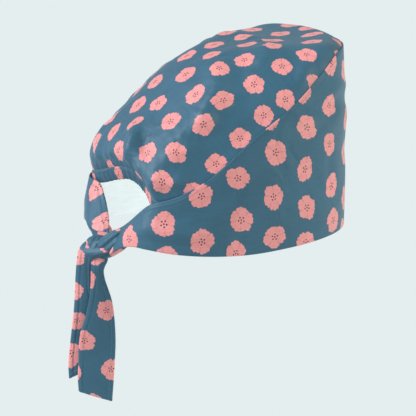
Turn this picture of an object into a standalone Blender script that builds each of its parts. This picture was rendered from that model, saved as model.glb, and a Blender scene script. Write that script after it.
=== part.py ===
"""A tie-back scrub cap: crown, front band, elastic casing, knot and two free tie ends.

The frame: +Z up, +Y to the back of the head, -X to the wearer's right. The origin is the centre of the
opening for the head, in the plane of the rim. A place round the head is its turn from the front, in degrees:
90 is the wearer's right, -90 the left, and 180 the nape.
"""
import math
from typing import NamedTuple

import bmesh
import bpy
import numpy as np

MM = 0.001

# Cloth and the gaps between pieces
CLOTH_WALL = 1.2 * MM
CASING_WALL = 2.4 * MM
TIE_WALL = 2.0 * MM
FIT_GAP = 0.3 * MM
HEM_DEPTH = 6.0 * MM

# Opening for the head, at the outside of the rim
HEAD_HALF_WIDTH = 80.0 * MM
FRONT_REACH = 99.5 * MM
BACK_REACH = 93.5 * MM
FRONT_SQUARENESS = 2.1
BACK_SQUARENESS = 2.8

# Front band
BAND_HEIGHT = 140.0 * MM
RIM_WAVE = 6.5 * MM
BAND_BELLY = 2.2 * MM
STRIP_LEAN = 14.0 * MM
LEAN_CURVE = 1.6
BAND_FOLD_RISE = 1.8 * MM

# Ponytail opening and its elastic casing
CASING_HEIGHT = 9.0 * MM
CASING_LEAN = 3.0 * MM
CASING_PUFF = 0.6 * MM
CASING_RIB_RISE = 0.8 * MM
CASING_RIBS = 19
CASING_END_TURN = 141.0
CASING_RIB_TURN = 145.0
CASING_CLEAR_TURN = 151.0
CROWN_SLACK_TURN = 125.0
CROWN_TUCK_TURN = 140.0
OPENING_REACH = 76.0 * MM
OPENING_HEIGHT = 46.5 * MM

# Crown
CROWN_RISE = 40.0 * MM
CROWN_TOP_BACK = 8.0 * MM
CROWN_TOP_HEIGHT = 92.0 * MM
CROWN_TILT = 34.5
CROWN_RING_SPACING = 1.15
PUCKER_RISE = 3.0 * MM
PUCKER_START = 0.08
PUCKER_FULL_SHARE = 0.1

# Knot and ties
KNOT_HALF_WIDTH = 9.0 * MM
KNOT_HALF_LENGTH = 14.5 * MM
KNOT_HALF_HEIGHT = 16.0 * MM
KNOT_PAST_BAND = 2.5 * MM
KNOT_BACK = BACK_REACH + KNOT_PAST_BAND
KNOT_DROP = 3.0 * MM
KNOT_SEAT_DROP = 12.0 * MM
KNOT_FULLNESS = 1.3
KNOT_ROUNDNESS = 0.80
TIE_WIDTH = 26.0 * MM
TIE_LENGTH = 99.0 * MM
TIE_FACING = 115.0

# How finely the pieces are meshed, and the steps that a surface's normal is taken over
NORMAL_STEP_TURN = 0.5
NORMAL_STEP_SHARE = 0.01
SHARP_ANGLE = 50.0
BAND_STEPS = 78
BAND_ROWS = 7
CROWN_BAND_STEPS = 46
CROWN_RINGS = 13
CASING_STEPS_PER_RIB = 4
CASING_ROWS = 4
KNOT_STEPS = 30
KNOT_ROWS = 16
TIE_STEPS = 22
TIE_COLUMNS = 6


class BandStation(NamedTuple):
    """The band at one turn: shares of rim wave, band height, lean and belly."""

    turn: float
    rim: float
    top: float
    lean: float
    belly: float


BAND_STATIONS = (
    BandStation(turn=0, rim=0.70, top=1.000, lean=0.08, belly=0.6),
    BandStation(turn=20, rim=0.72, top=1.000, lean=0.08, belly=0.6),
    BandStation(turn=36, rim=0.70, top=0.985, lean=0.10, belly=0.6),
    BandStation(turn=48, rim=0.66, top=0.918, lean=0.14, belly=0.6),
    BandStation(turn=70, rim=0.40, top=0.757, lean=0.18, belly=0.6),
    BandStation(turn=95, rim=0.10, top=0.596, lean=0.20, belly=0.6),
    BandStation(turn=120, rim=0.30, top=0.396, lean=0.24, belly=0.7),
    BandStation(turn=134, rim=0.60, top=0.317, lean=0.24, belly=0.8),
)

NEAR_STRIP_STATIONS = (
    BandStation(turn=146, rim=0.95, top=0.268, lean=0.26, belly=0.8),
    BandStation(turn=153, rim=1.05, top=0.181, lean=0.55, belly=0.4),
    BandStation(turn=160, rim=0.65, top=0.136, lean=0.62, belly=0.2),
    BandStation(turn=167, rim=-0.25, top=0.106, lean=0.55, belly=0.0),
    BandStation(turn=174, rim=-1.10, top=0.088, lean=0.40, belly=0.0),
)

FAR_STRIP_STATIONS = (
    BandStation(turn=146, rim=1.20, top=0.279, lean=0.26, belly=0.9),
    BandStation(turn=155, rim=1.60, top=0.249, lean=1.00, belly=0.4),
    BandStation(turn=162, rim=1.65, top=0.190, lean=1.00, belly=0.2),
    BandStation(turn=168, rim=1.30, top=0.139, lean=0.95, belly=0.0),
    BandStation(turn=174, rim=0.20, top=0.101, lean=0.80, belly=0.0),
)

NEAR_STATIONS = BAND_STATIONS + NEAR_STRIP_STATIONS
FAR_STATIONS = BAND_STATIONS + FAR_STRIP_STATIONS


class BandFold(NamedTuple):
    """A soft ridge of the band between two places: turns in degrees, the rest as shares of its height."""

    turn_from: float
    height_from: float
    turn_to: float
    height_to: float
    rise: float
    width: float


BAND_FOLDS = (
    BandFold(turn_from=12, height_from=0.62, turn_to=72, height_to=0.52, rise=0.9, width=0.075),
    BandFold(turn_from=6, height_from=0.80, turn_to=52, height_to=0.72, rise=0.8, width=0.060),
    BandFold(turn_from=118, height_from=0.10, turn_to=164, height_to=0.07, rise=0.8, width=0.045),
    BandFold(turn_from=84, height_from=0.16, turn_to=136, height_to=0.17, rise=-0.6, width=0.070),
    BandFold(turn_from=-20, height_from=0.66, turn_to=-75, height_to=0.44, rise=0.8, width=0.080),
    BandFold(turn_from=-100, height_from=0.20, turn_to=-158, height_to=0.09, rise=0.7, width=0.050),
)


class ArchRow(NamedTuple):
    """The casing's lower edge at one turn, right to left: shares of the opening's reach and height."""

    turn: float
    reach: float
    height: float


ARCH_ROWS = (
    ArchRow(turn=141, reach=1.16, height=0.70),
    ArchRow(turn=146, reach=1.135, height=0.77),
    ArchRow(turn=151, reach=1.10, height=0.90),
    ArchRow(turn=158, reach=1.06, height=0.99),
    ArchRow(turn=168, reach=1.02, height=1.02),
    ArchRow(turn=180, reach=1.00, height=1.00),
    ArchRow(turn=192, reach=1.01, height=0.94),
    ArchRow(turn=203, reach=1.05, height=0.84),
    ArchRow(turn=212, reach=1.10, height=0.75),
    ArchRow(turn=219, reach=1.16, height=0.70),
)


class CrownRing(NamedTuple):
    """One ring of the crown: how far out and how high, as shares of the edge's distance and the rise."""

    along: float
    front: tuple[float, float]
    side: tuple[float, float]
    back: tuple[float, float]


CROWN_RING_ROWS = (
    CrownRing(along=0.00, front=(1.00, 0.00), side=(1.00, 0.00), back=(1.00, 0.00)),
    CrownRing(along=0.10, front=(0.96, 0.23), side=(0.95, 0.13), back=(1.02, 0.21)),
    CrownRing(along=0.25, front=(0.79, 0.44), side=(0.89, 0.34), back=(0.96, 0.40)),
    CrownRing(along=0.40, front=(0.63, 0.64), side=(0.80, 0.58), back=(0.86, 0.57)),
    CrownRing(along=0.55, front=(0.48, 0.80), side=(0.67, 0.77), back=(0.69, 0.70)),
    CrownRing(along=0.72, front=(0.33, 0.91), side=(0.44, 0.91), back=(0.45, 0.82)),
    CrownRing(along=0.87, front=(0.17, 0.97), side=(0.21, 0.98), back=(0.22, 0.92)),
    CrownRing(along=1.00, front=(0.00, 1.00), side=(0.00, 1.00), back=(0.00, 1.00)),
)


class Pucker(NamedTuple):
    """A gather of the crown: its root's turn, how far up it runs, drift and spread in degrees, its rise."""

    turn: float
    run: float
    drift: float
    spread: float
    rise: float


PUCKERS = (
    Pucker(turn=130, run=0.34, drift=-6, spread=4.0, rise=0.5),
    Pucker(turn=144, run=0.50, drift=-8, spread=3.6, rise=0.9),
    Pucker(turn=154, run=0.40, drift=-5, spread=3.2, rise=0.9),
    Pucker(turn=163, run=0.52, drift=-4, spread=3.2, rise=1.0),
    Pucker(turn=172, run=0.38, drift=-2, spread=3.0, rise=0.9),
    Pucker(turn=181, run=0.50, drift=1, spread=3.2, rise=1.0),
    Pucker(turn=190, run=0.36, drift=3, spread=3.0, rise=0.8),
    Pucker(turn=199, run=0.48, drift=5, spread=3.4, rise=1.0),
    Pucker(turn=209, run=0.38, drift=6, spread=3.4, rise=0.8),
    Pucker(turn=222, run=0.42, drift=9, spread=4.0, rise=0.7),
)


class Crease(NamedTuple):
    """A groove round the knot: the direction it faces, where it lies, its depth and its width, as shares."""

    across: float
    back: float
    up: float
    place: float
    depth: float
    width: float


KNOT_CREASES = (
    Crease(across=0.0, back=-0.50, up=0.86, place=0.10, depth=0.15, width=0.16),
    Crease(across=0.35, back=0.55, up=-0.76, place=0.42, depth=0.12, width=0.10),
    Crease(across=-0.45, back=0.80, up=0.40, place=0.45, depth=0.12, width=0.12),
    Crease(across=0.20, back=0.90, up=0.40, place=-0.35, depth=0.10, width=0.10),
)


class TieRow(NamedTuple):
    """A tie end at one drop: a share of its length, the rest as shares of its width, its twist in degrees."""

    drop: float
    across: float
    out: float
    width: float
    wall: float
    twist: float


TIE_NEAR_ROWS = (
    TieRow(drop=0.00, across=-0.03, out=0.00, width=0.40, wall=1.7, twist=20),
    TieRow(drop=0.09, across=-0.02, out=0.06, width=0.36, wall=1.6, twist=10),
    TieRow(drop=0.25, across=-0.09, out=0.10, width=0.60, wall=1.3, twist=-8),
    TieRow(drop=0.40, across=-0.07, out=0.08, width=0.80, wall=1.1, twist=-12),
    TieRow(drop=0.58, across=-0.01, out=0.04, width=0.99, wall=1.0, twist=-6),
    TieRow(drop=0.78, across=0.03, out=0.02, width=1.00, wall=1.0, twist=2),
    TieRow(drop=1.00, across=0.06, out=0.00, width=0.96, wall=1.0, twist=6),
)

TIE_FAR_ROWS = (
    TieRow(drop=0.00, across=0.03, out=0.00, width=0.62, wall=1.7, twist=10),
    TieRow(drop=0.10, across=-0.02, out=-0.02, width=0.70, wall=1.5, twist=6),
    TieRow(drop=0.28, across=-0.03, out=-0.05, width=0.88, wall=1.2, twist=2),
    TieRow(drop=0.50, across=0.00, out=-0.07, width=1.00, wall=1.0, twist=-2),
    TieRow(drop=0.78, across=0.07, out=-0.06, width=1.00, wall=1.0, twist=-5),
    TieRow(drop=1.00, across=0.13, out=-0.04, width=0.98, wall=1.0, twist=-8),
)

# Where each tie end leaves the knot, as shares of the knot's half sizes, and the slant of its cut end
TIE_NEAR_ROOT = (-0.42, 0.0)
TIE_FAR_ROOT = (0.42, 0.30)
TIE_NEAR_SLANT = 0.17
TIE_FAR_SLANT = -0.25
TIE_FAR_LENGTH_SHARE = 0.85

CLOTH_COLOUR = (0.052, 0.130, 0.185, 1.0)
CLOTH_ROUGHNESS = 0.55


def through(rows: tuple, column: str, at: np.ndarray, key: str = "turn", member: int = 0) -> np.ndarray:
    """Read a column of a table, or a member of it, between its rows, on a smooth curve level at both ends."""
    xs = np.array([getattr(row, key) for row in rows], dtype=float)
    ys = np.array([np.atleast_1d(getattr(row, column))[member] for row in rows], dtype=float)
    slopes = np.gradient(ys, xs)
    slopes[0] = 0.0
    slopes[-1] = 0.0
    at = np.clip(np.asarray(at, dtype=float), xs[0], xs[-1])
    left = np.clip(np.searchsorted(xs, at, side="right") - 1, 0, len(xs) - 2)
    span = xs[left + 1] - xs[left]
    t = (at - xs[left]) / span
    rise = (2 * t**3 - 3 * t**2 + 1) * ys[left] + (3 * t**2 - 2 * t**3) * ys[left + 1]
    lean = (t**3 - 2 * t**2 + t) * slopes[left] + (t**3 - t**2) * slopes[left + 1]
    return rise + span * lean


def ease(value: np.ndarray, start: float, end: float) -> np.ndarray:
    """Rise smoothly from 0 at the start to 1 at the end."""
    t = np.clip((np.asarray(value, dtype=float) - start) / (end - start), 0.0, 1.0)
    return t * t * (3.0 - 2.0 * t)


def signed_turn(turn: np.ndarray) -> np.ndarray:
    """The turn between -180 and 180, positive on the wearer's right."""
    return np.mod(np.asarray(turn, dtype=float) + 180.0, 360.0) - 180.0


def from_front(turn: np.ndarray) -> np.ndarray:
    """The turn without its side: 0 at the front to 180 at the nape."""
    return np.abs(signed_turn(turn))


def band_value(column: str, turn: np.ndarray) -> np.ndarray:
    """Read a column of the band's stations, each side from its own."""
    place = from_front(turn)
    near = through(NEAR_STATIONS, column, place)
    far = through(FAR_STATIONS, column, place)
    return np.where(signed_turn(turn) > 0.0, near, far)


def polar(turn: np.ndarray, reach: np.ndarray, height: np.ndarray) -> np.ndarray:
    """Points at a turn, a distance from the middle line and a height."""
    angle = np.radians(turn)
    return np.stack([-reach * np.sin(angle), -reach * np.cos(angle), height + 0.0 * reach], axis=-1)


def oval_reach(turn: np.ndarray) -> np.ndarray:
    """Distance from the middle line to the outside of the rim, squarer at the back than at the front."""
    angle = np.radians(from_front(turn))
    side = np.abs(np.sin(angle)) / HEAD_HALF_WIDTH
    ahead = np.abs(np.cos(angle)) / np.where(np.cos(angle) > 0.0, FRONT_REACH, BACK_REACH)
    square = FRONT_SQUARENESS + (BACK_SQUARENESS - FRONT_SQUARENESS) * (0.5 - 0.5 * np.cos(angle))
    return (side**square + ahead**square) ** (-1.0 / square)


def band_edges(turn: np.ndarray) -> tuple[np.ndarray, np.ndarray]:
    """Heights of the band's rim and of its top edge."""
    return RIM_WAVE * band_value("rim", turn), BAND_HEIGHT * band_value("top", turn)


def fold_rise(turn: np.ndarray, height: np.ndarray) -> np.ndarray:
    """How far the band's soft folds push its cloth out."""
    along = np.radians(signed_turn(turn)) * HEAD_HALF_WIDTH
    total = np.zeros(np.broadcast(turn, height).shape)
    for fold in BAND_FOLDS:
        start = np.array([math.radians(fold.turn_from) * HEAD_HALF_WIDTH, fold.height_from * BAND_HEIGHT])
        end = np.array([math.radians(fold.turn_to) * HEAD_HALF_WIDTH, fold.height_to * BAND_HEIGHT])
        line = end - start
        share = ((along - start[0]) * line[0] + (height - start[1]) * line[1]) / np.dot(line, line)
        share = np.clip(share, 0.0, 1.0)
        away = np.hypot(along - start[0] - share * line[0], height - start[1] - share * line[1])
        total = total + fold.rise * BAND_FOLD_RISE * np.exp(-((away / (fold.width * BAND_HEIGHT)) ** 2))
    return total


def band_outside(turn: np.ndarray, share: np.ndarray) -> np.ndarray:
    """Points on the band's outer side: a share of 0 is on the rim, and 1 is on the top edge."""
    rim, top = band_edges(turn)
    height = rim + share * (top - rim)
    lean = STRIP_LEAN * band_value("lean", turn) * np.clip(share, 0.0, 1.2) ** LEAN_CURVE
    belly = BAND_BELLY * band_value("belly", turn) * np.sin(np.pi * np.clip(share, 0.0, 1.0))
    return polar(turn, oval_reach(turn) - lean + belly + fold_rise(turn, height), height)


def skin(surface, turn: np.ndarray, share: np.ndarray, depth: np.ndarray) -> np.ndarray:
    """Points under a surface, a depth inward along its normal."""
    turn, share = np.broadcast_arrays(np.asarray(turn, dtype=float), np.asarray(share, dtype=float))
    step_turn = NORMAL_STEP_TURN
    step_share = NORMAL_STEP_SHARE
    along = surface(turn + step_turn, share) - surface(turn - step_turn, share)
    up = surface(turn, share + step_share) - surface(turn, share - step_share)
    normal = np.cross(up, along)
    normal /= np.linalg.norm(normal, axis=-1, keepdims=True)
    return surface(turn, share) - normal * np.asarray(depth)[..., None]


def casing_middle(turn: np.ndarray, share: np.ndarray) -> np.ndarray:
    """The casing's plain outer face, from its lower edge (0) to its upper (1), its ends inside the band."""
    place = np.mod(turn, 360.0)
    free = ease(from_front(turn), CASING_END_TURN, CASING_CLEAR_TURN)
    reach = OPENING_REACH * through(ARCH_ROWS, "reach", place) + CASING_LEAN * share
    height = OPENING_HEIGHT * through(ARCH_ROWS, "height", place) + CASING_HEIGHT * share
    rim, top = band_edges(turn)
    tucked = skin(band_outside, turn, (height - rim) / (top - rim), CLOTH_WALL + FIT_GAP + 0.0 * place)
    arch = polar(turn, reach, height)
    return tucked + (arch - tucked) * free[..., None]


def casing_outside(turn: np.ndarray, share: np.ndarray) -> np.ndarray:
    """The casing's outer face with its gathers."""
    free = ease(from_front(turn), CASING_RIB_TURN, CASING_CLEAR_TURN)
    phase = (turn - CASING_END_TURN) / (360.0 - 2.0 * CASING_END_TURN) * CASING_RIBS
    rib = CASING_RIB_RISE * (0.5 - 0.5 * np.cos(2.0 * np.pi * phase))
    puff = CASING_PUFF * np.sin(np.pi * np.clip(share, 0.0, 1.0))
    return skin(casing_middle, turn, share, -(rib + puff) * free)


def crown_hem(turn: np.ndarray, down: float) -> np.ndarray:
    """The crown's tucked edge, a distance below the top edge of what covers it: the band or the casing."""
    place = from_front(turn)
    rim, top = band_edges(turn)
    below_casing = CASING_WALL + FIT_GAP
    depth = CLOTH_WALL + FIT_GAP + below_casing * ease(place, CROWN_SLACK_TURN, CROWN_TUCK_TURN)
    in_band = skin(band_outside, turn, 1.0 - down / (top - rim), depth)
    share = np.full(place.shape, 1.0 - down / CASING_HEIGHT)
    in_casing = skin(casing_middle, turn, share, np.full(place.shape, below_casing))
    behind = ease(place, CROWN_TUCK_TURN, CASING_END_TURN)
    return in_band + (in_casing - in_band) * behind[..., None]


def crown_turns() -> np.ndarray:
    """The turns of the crown's spokes: even along the band, and closer together over the casing."""
    along_band = np.linspace(-CASING_END_TURN, CASING_END_TURN, CROWN_BAND_STEPS, endpoint=False)
    casing_steps = CASING_RIBS * CASING_STEPS_PER_RIB // 2
    over_casing = np.linspace(CASING_END_TURN, 360.0 - CASING_END_TURN, casing_steps, endpoint=False)
    return np.concatenate([along_band, over_casing])


def crown_outside(turns: np.ndarray, along: np.ndarray) -> np.ndarray:
    """The crown's outer side, one row for each share of the way from its edge to its top."""
    edge = crown_hem(turns, -FIT_GAP)
    tilt = math.radians(CROWN_TILT)
    top_base = np.array([0.0, CROWN_TOP_BACK, CROWN_TOP_HEIGHT])
    backward = np.array([0.0, math.cos(tilt), -math.sin(tilt)])
    upward = np.array([0.0, math.sin(tilt), math.cos(tilt)])
    away = edge - top_base
    side = away[:, 0]
    back = away @ backward
    lift = away @ upward
    facing = np.arctan2(side, -back)
    front_share = np.where(np.cos(facing) > 0.0, np.cos(facing) ** 2, 0.0)
    back_share = np.where(np.cos(facing) < 0.0, np.cos(facing) ** 2, 0.0)
    side_share = np.sin(facing) ** 2
    rows = []
    for place in along:
        out = 0.0
        up = 0.0
        for column, share in (("front", front_share), ("side", side_share), ("back", back_share)):
            out = out + share * through(CROWN_RING_ROWS, column, place, "along", 0)
            up = up + share * through(CROWN_RING_ROWS, column, place, "along", 1)
        height = lift * (1.0 - ease(place, 0.0, 1.0)) + CROWN_RISE * up
        flat = np.stack([side * out, back * out], axis=-1)
        rows.append(top_base + np.outer(flat[:, 0], [1.0, 0.0, 0.0]) + np.outer(flat[:, 1], backward)
                    + np.outer(height, upward))
    return np.array(rows)


def pucker_rise(turns: np.ndarray, along: np.ndarray) -> np.ndarray:
    """How far the gathers push the crown's cloth out, by row and spoke."""
    place = np.mod(turns, 360.0)[None, :]
    up = along[:, None]
    total = np.zeros((len(along), len(turns)))
    for pucker in PUCKERS:
        middle = pucker.turn + pucker.drift * up / pucker.run
        across = np.exp(-(((place - middle) / pucker.spread) ** 2))
        fade = ease(up, 0.0, PUCKER_START) * (1.0 - ease(up, PUCKER_FULL_SHARE * pucker.run, pucker.run))
        total = total + pucker.rise * PUCKER_RISE * across * fade
    return total


def grid_normals(points: np.ndarray, closed: bool) -> np.ndarray:
    """Unit normals of a grid of points, from the differences along its rows and columns."""
    down = np.gradient(points, axis=0)
    if closed:
        across = np.roll(points, -1, axis=1) - np.roll(points, 1, axis=1)
    else:
        across = np.gradient(points, axis=1)
    normal = np.cross(down, across)
    length = np.linalg.norm(normal, axis=-1, keepdims=True)
    return normal / np.maximum(length, 1e-12)


def add_solid(name: str, points: np.ndarray, faces: list) -> bpy.types.Object:
    """Make a mesh object with its faces pointing out, shade it and give it its own material."""
    mesh = bpy.data.meshes.new(name)
    mesh.from_pydata([tuple(point) for point in points], [], faces)
    work = bmesh.new()
    work.from_mesh(mesh)
    bmesh.ops.recalc_face_normals(work, faces=work.faces)
    work.to_mesh(mesh)
    work.free()
    mesh.shade_smooth()
    mesh.set_sharp_from_angle(angle=math.radians(SHARP_ANGLE))
    material = bpy.data.materials.new(name + "_cloth")
    material.use_nodes = True
    shader = material.node_tree.nodes["Principled BSDF"]
    shader.inputs["Base Color"].default_value = CLOTH_COLOUR
    shader.inputs["Roughness"].default_value = CLOTH_ROUGHNESS
    shader.inputs["Metallic"].default_value = 0.0
    mesh.materials.append(material)
    solid = bpy.data.objects.new(name, mesh)
    bpy.context.scene.collection.objects.link(solid)
    return solid


def sheet_faces(rows: int, columns: int, closed: bool, start: int, flip: bool) -> list:
    """Quads of one side of a sheet whose points run row by row."""
    faces = []
    for row in range(rows - 1):
        for column in range(columns if closed else columns - 1):
            after = (column + 1) % columns
            quad = [start + row * columns + column, start + row * columns + after,
                    start + (row + 1) * columns + after, start + (row + 1) * columns + column]
            faces.append(quad[::-1] if flip else quad)
    return faces


def border_faces(loop: list, offset: int) -> list:
    """Quads that join a border of the outer side to the same border of the inner side."""
    return [[a, a + offset, b + offset, b] for a, b in zip(loop, loop[1:])]


def add_sheet(name: str, outer: np.ndarray, inner: np.ndarray) -> bpy.types.Object:
    """A sheet of cloth with four borders, from its outer and inner sides."""
    rows, columns = outer.shape[:2]
    count = rows * columns
    faces = sheet_faces(rows, columns, False, 0, False) + sheet_faces(rows, columns, False, count, True)
    first = list(range(columns))
    right = [row * columns + columns - 1 for row in range(rows)]
    last = [(rows - 1) * columns + column for column in reversed(range(columns))]
    left = [row * columns for row in reversed(range(rows))]
    for border in (first, right, last, left):
        faces += border_faces(border, count)
    return add_solid(name, np.concatenate([outer.reshape(-1, 3), inner.reshape(-1, 3)]), faces)


def add_dome(name: str, outer: np.ndarray, inner: np.ndarray) -> bpy.types.Object:
    """A dome of cloth from its rings, the last of them the point at the top, open along the first."""
    rings, spokes = outer.shape[0] - 1, outer.shape[1]
    count = rings * spokes + 1
    points = []
    faces = []
    for start, side in ((0, outer), (count, inner)):
        points.append(side[:rings].reshape(-1, 3))
        points.append(side[rings, :1])
        faces += sheet_faces(rings, spokes, True, start, start > 0)
        ring = start + (rings - 1) * spokes
        for spoke in range(spokes):
            fan = [ring + spoke, ring + (spoke + 1) % spokes, start + count - 1]
            faces.append(fan[::-1] if start > 0 else fan)
    faces += border_faces(list(range(spokes)) + [0], count)
    return add_solid(name, np.concatenate(points), faces)


def band_end(side: float) -> float:
    """How far round the band runs on one side: to a fit's gap from the knot's flat side."""
    last = NEAR_STATIONS[-1].turn
    strip = band_outside(np.full(BAND_ROWS, side * last), np.linspace(0.0, 1.0, BAND_ROWS))
    reach = np.hypot(strip[:, 0], strip[:, 1]).min() - CLOTH_WALL
    return 180.0 - math.degrees(math.asin((KNOT_HALF_WIDTH + FIT_GAP) / reach))


def build_front_band() -> bpy.types.Object:
    """The band, from one side of the knot round the forehead to the other side."""
    turns = np.linspace(-band_end(-1.0), band_end(1.0), BAND_STEPS)[None, :]
    shares = np.linspace(0.0, 1.0, BAND_ROWS)[:, None]
    outer = skin(band_outside, turns, shares, np.zeros((BAND_ROWS, BAND_STEPS)))
    inner = skin(band_outside, turns, shares, np.full((BAND_ROWS, BAND_STEPS), CLOTH_WALL))
    return add_sheet("front_band", outer, inner)


def build_crown() -> bpy.types.Object:
    """The crown, from its hem under the band and the casing up to its top."""
    turns = crown_turns()
    hem = np.array([crown_hem(turns, HEM_DEPTH), crown_hem(turns, HEM_DEPTH / 2.0)])
    along = np.linspace(0.0, 1.0, CROWN_RINGS) ** CROWN_RING_SPACING
    dome = crown_outside(turns, along)
    dome[:-1] += grid_normals(dome, True)[:-1] * pucker_rise(turns, along)[:-1, :, None]
    outer = np.concatenate([hem, dome])
    normals = grid_normals(outer, True)
    normals[-1] = np.array([0.0, math.sin(math.radians(CROWN_TILT)), math.cos(math.radians(CROWN_TILT))])
    return add_dome("crown", outer, outer - CLOTH_WALL * normals)


def build_elastic_casing() -> bpy.types.Object:
    """The gathered channel that arches over the ponytail opening."""
    count = CASING_RIBS * CASING_STEPS_PER_RIB + 1
    turns = np.linspace(CASING_END_TURN, 360.0 - CASING_END_TURN, count)[None, :]
    shares = np.linspace(0.0, 1.0, CASING_ROWS)[:, None]
    outer = casing_outside(turns, shares + 0.0 * turns)
    inner = skin(casing_middle, turns, shares, np.full((CASING_ROWS, count), CASING_WALL))
    return add_sheet("elastic_casing", outer, inner)


def build_knot() -> bpy.types.Object:
    """The knot: a rounded lump with grooves where its cloth crosses, flat where strips and ties meet it."""
    bearing = np.linspace(0.0, 2.0 * np.pi, KNOT_STEPS, endpoint=False)[None, :]
    tall = np.linspace(-np.pi / 2.0, np.pi / 2.0, KNOT_ROWS + 1)[1:-1, None]
    facing = np.stack([np.cos(tall) * np.cos(bearing), np.cos(tall) * np.sin(bearing),
                       np.sin(tall) + 0.0 * bearing], axis=-1)
    facing = np.concatenate([np.broadcast_to([0.0, 0.0, -1.0], (1, KNOT_STEPS, 3)), facing,
                             np.broadcast_to([0.0, 0.0, 1.0], (1, KNOT_STEPS, 3))])
    size = np.ones(facing.shape[:2])
    for crease in KNOT_CREASES:
        axis = np.array([crease.across, crease.back, crease.up])
        axis /= np.linalg.norm(axis)
        size -= crease.depth * np.exp(-(((facing @ axis - crease.place) / crease.width) ** 2))
    half = np.array([KNOT_HALF_WIDTH * KNOT_FULLNESS, KNOT_HALF_LENGTH, KNOT_HALF_HEIGHT])
    points = np.sign(facing) * np.abs(facing) ** KNOT_ROUNDNESS * size[..., None] * half
    points[..., 0] = np.clip(points[..., 0], -KNOT_HALF_WIDTH, KNOT_HALF_WIDTH)
    points[..., 2] = np.maximum(points[..., 2], -KNOT_SEAT_DROP)
    points += np.array([0.0, KNOT_BACK, -KNOT_DROP])
    rows, columns = points.shape[:2]
    ring = points[1:-1].reshape(-1, 3)
    faces = sheet_faces(rows - 2, columns, True, 0, False)
    low, high = len(ring), len(ring) + 1
    for column in range(columns):
        after = (column + 1) % columns
        faces.append([after, column, low])
        faces.append([(rows - 3) * columns + column, (rows - 3) * columns + after, high])
    return add_solid("knot", np.concatenate([ring, points[:1, 0], points[-1:, 0]]), faces)


def build_tie(name: str, table: tuple, root: tuple, slant: float, length: float) -> bpy.types.Object:
    """A free tie end: a flat doubled strip that hangs from the underside of the knot."""
    drop = np.linspace(0.0, 1.0, TIE_STEPS)[:, None]
    column = np.linspace(-0.5, 0.5, TIE_COLUMNS)[None, :]
    facing = math.radians(TIE_FACING)
    across_way = np.array([-math.cos(facing), math.sin(facing), 0.0])
    out_way = np.array([-math.sin(facing), -math.cos(facing), 0.0])
    twist = np.radians(through(table, "twist", drop, "drop"))
    width = TIE_WIDTH * through(table, "width", drop, "drop")
    wall = TIE_WALL * through(table, "wall", drop, "drop")
    start = np.array([root[0] * KNOT_HALF_WIDTH, KNOT_BACK + root[1] * KNOT_HALF_LENGTH, 0.0])
    level = -KNOT_DROP - KNOT_SEAT_DROP - FIT_GAP
    along = TIE_WIDTH * through(table, "across", drop, "drop") + width * column * np.cos(twist)
    out = TIE_WIDTH * through(table, "out", drop, "drop") + width * column * np.sin(twist)
    height = level - drop * (length - slant * TIE_WIDTH * column * 2.0)
    middle = start + along[..., None] * across_way + out[..., None] * out_way
    middle = middle + height[..., None] * np.array([0.0, 0.0, 1.0])
    normals = grid_normals(middle, False)
    normals[0, :, 2] = 0.0
    half_wall = 0.5 * wall[..., None] * normals
    return add_sheet(name, middle - half_wall, middle + half_wall)


def main() -> None:
    """Clear the scene and build the cap."""
    for old in list(bpy.data.objects):
        bpy.data.objects.remove(old, do_unlink=True)
    build_front_band()
    build_crown()
    build_elastic_casing()
    build_knot()
    build_tie("tie_end_near", TIE_NEAR_ROWS, TIE_NEAR_ROOT, TIE_NEAR_SLANT, TIE_LENGTH)
    build_tie("tie_end_far", TIE_FAR_ROWS, TIE_FAR_ROOT, TIE_FAR_SLANT, TIE_LENGTH * TIE_FAR_LENGTH_SHARE)


main()
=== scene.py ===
"""Looks of a tie-back scrub cap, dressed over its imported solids.

The frame: +Z up, +Y to the back of the head, -X to the wearer's right. The origin is the centre of the
opening for the head, in the plane of the rim. A place round the head is its turn from the front, in degrees,
positive on the wearer's right. Lengths are in metres unless a name ends in _mm.
"""

import logging
import math
from dataclasses import dataclass, field
from enum import Enum
from typing import Callable, Optional, Sequence

import bpy
import numpy as np
from mathutils import Euler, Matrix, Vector

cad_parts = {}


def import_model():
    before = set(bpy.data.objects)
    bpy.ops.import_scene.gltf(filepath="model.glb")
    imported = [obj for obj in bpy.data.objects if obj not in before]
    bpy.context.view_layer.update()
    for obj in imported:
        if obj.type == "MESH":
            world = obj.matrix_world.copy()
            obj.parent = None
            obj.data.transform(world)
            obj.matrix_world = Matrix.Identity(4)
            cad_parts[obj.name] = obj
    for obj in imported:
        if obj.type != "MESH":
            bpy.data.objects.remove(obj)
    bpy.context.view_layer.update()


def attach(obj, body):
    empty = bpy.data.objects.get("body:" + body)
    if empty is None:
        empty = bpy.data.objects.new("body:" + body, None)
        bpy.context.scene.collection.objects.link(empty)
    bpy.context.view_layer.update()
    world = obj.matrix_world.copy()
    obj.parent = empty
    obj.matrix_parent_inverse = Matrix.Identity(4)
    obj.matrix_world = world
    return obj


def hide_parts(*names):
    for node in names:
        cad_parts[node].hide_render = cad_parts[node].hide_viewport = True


MM = 0.001
FULL_TURN = 360.0
TINY = 1e-12
FAR_FROM_HEM = 20.0 * MM
LOG = logging.getLogger("scrub_cap")
Surface = Callable[[np.ndarray, np.ndarray], np.ndarray]
Triple = tuple[float, float, float]
Colour = tuple[float, float, float, float]


class Side(Enum):
    """Which side of the cloth a face belongs to."""

    PRINTED = 0
    REVERSE = 1

    @classmethod
    def where(cls, printed: float) -> "Side":
        """The side that a share of printed cloth counts as."""
        return cls.PRINTED if printed > 0.5 else cls.REVERSE


class Hold(Enum):
    """How a sheet of cloth is held on the cap."""

    GATHERED = "gathered"
    STRETCHED = "stretched"
    HUNG = "hung"
    FOLDED = "folded"


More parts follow.
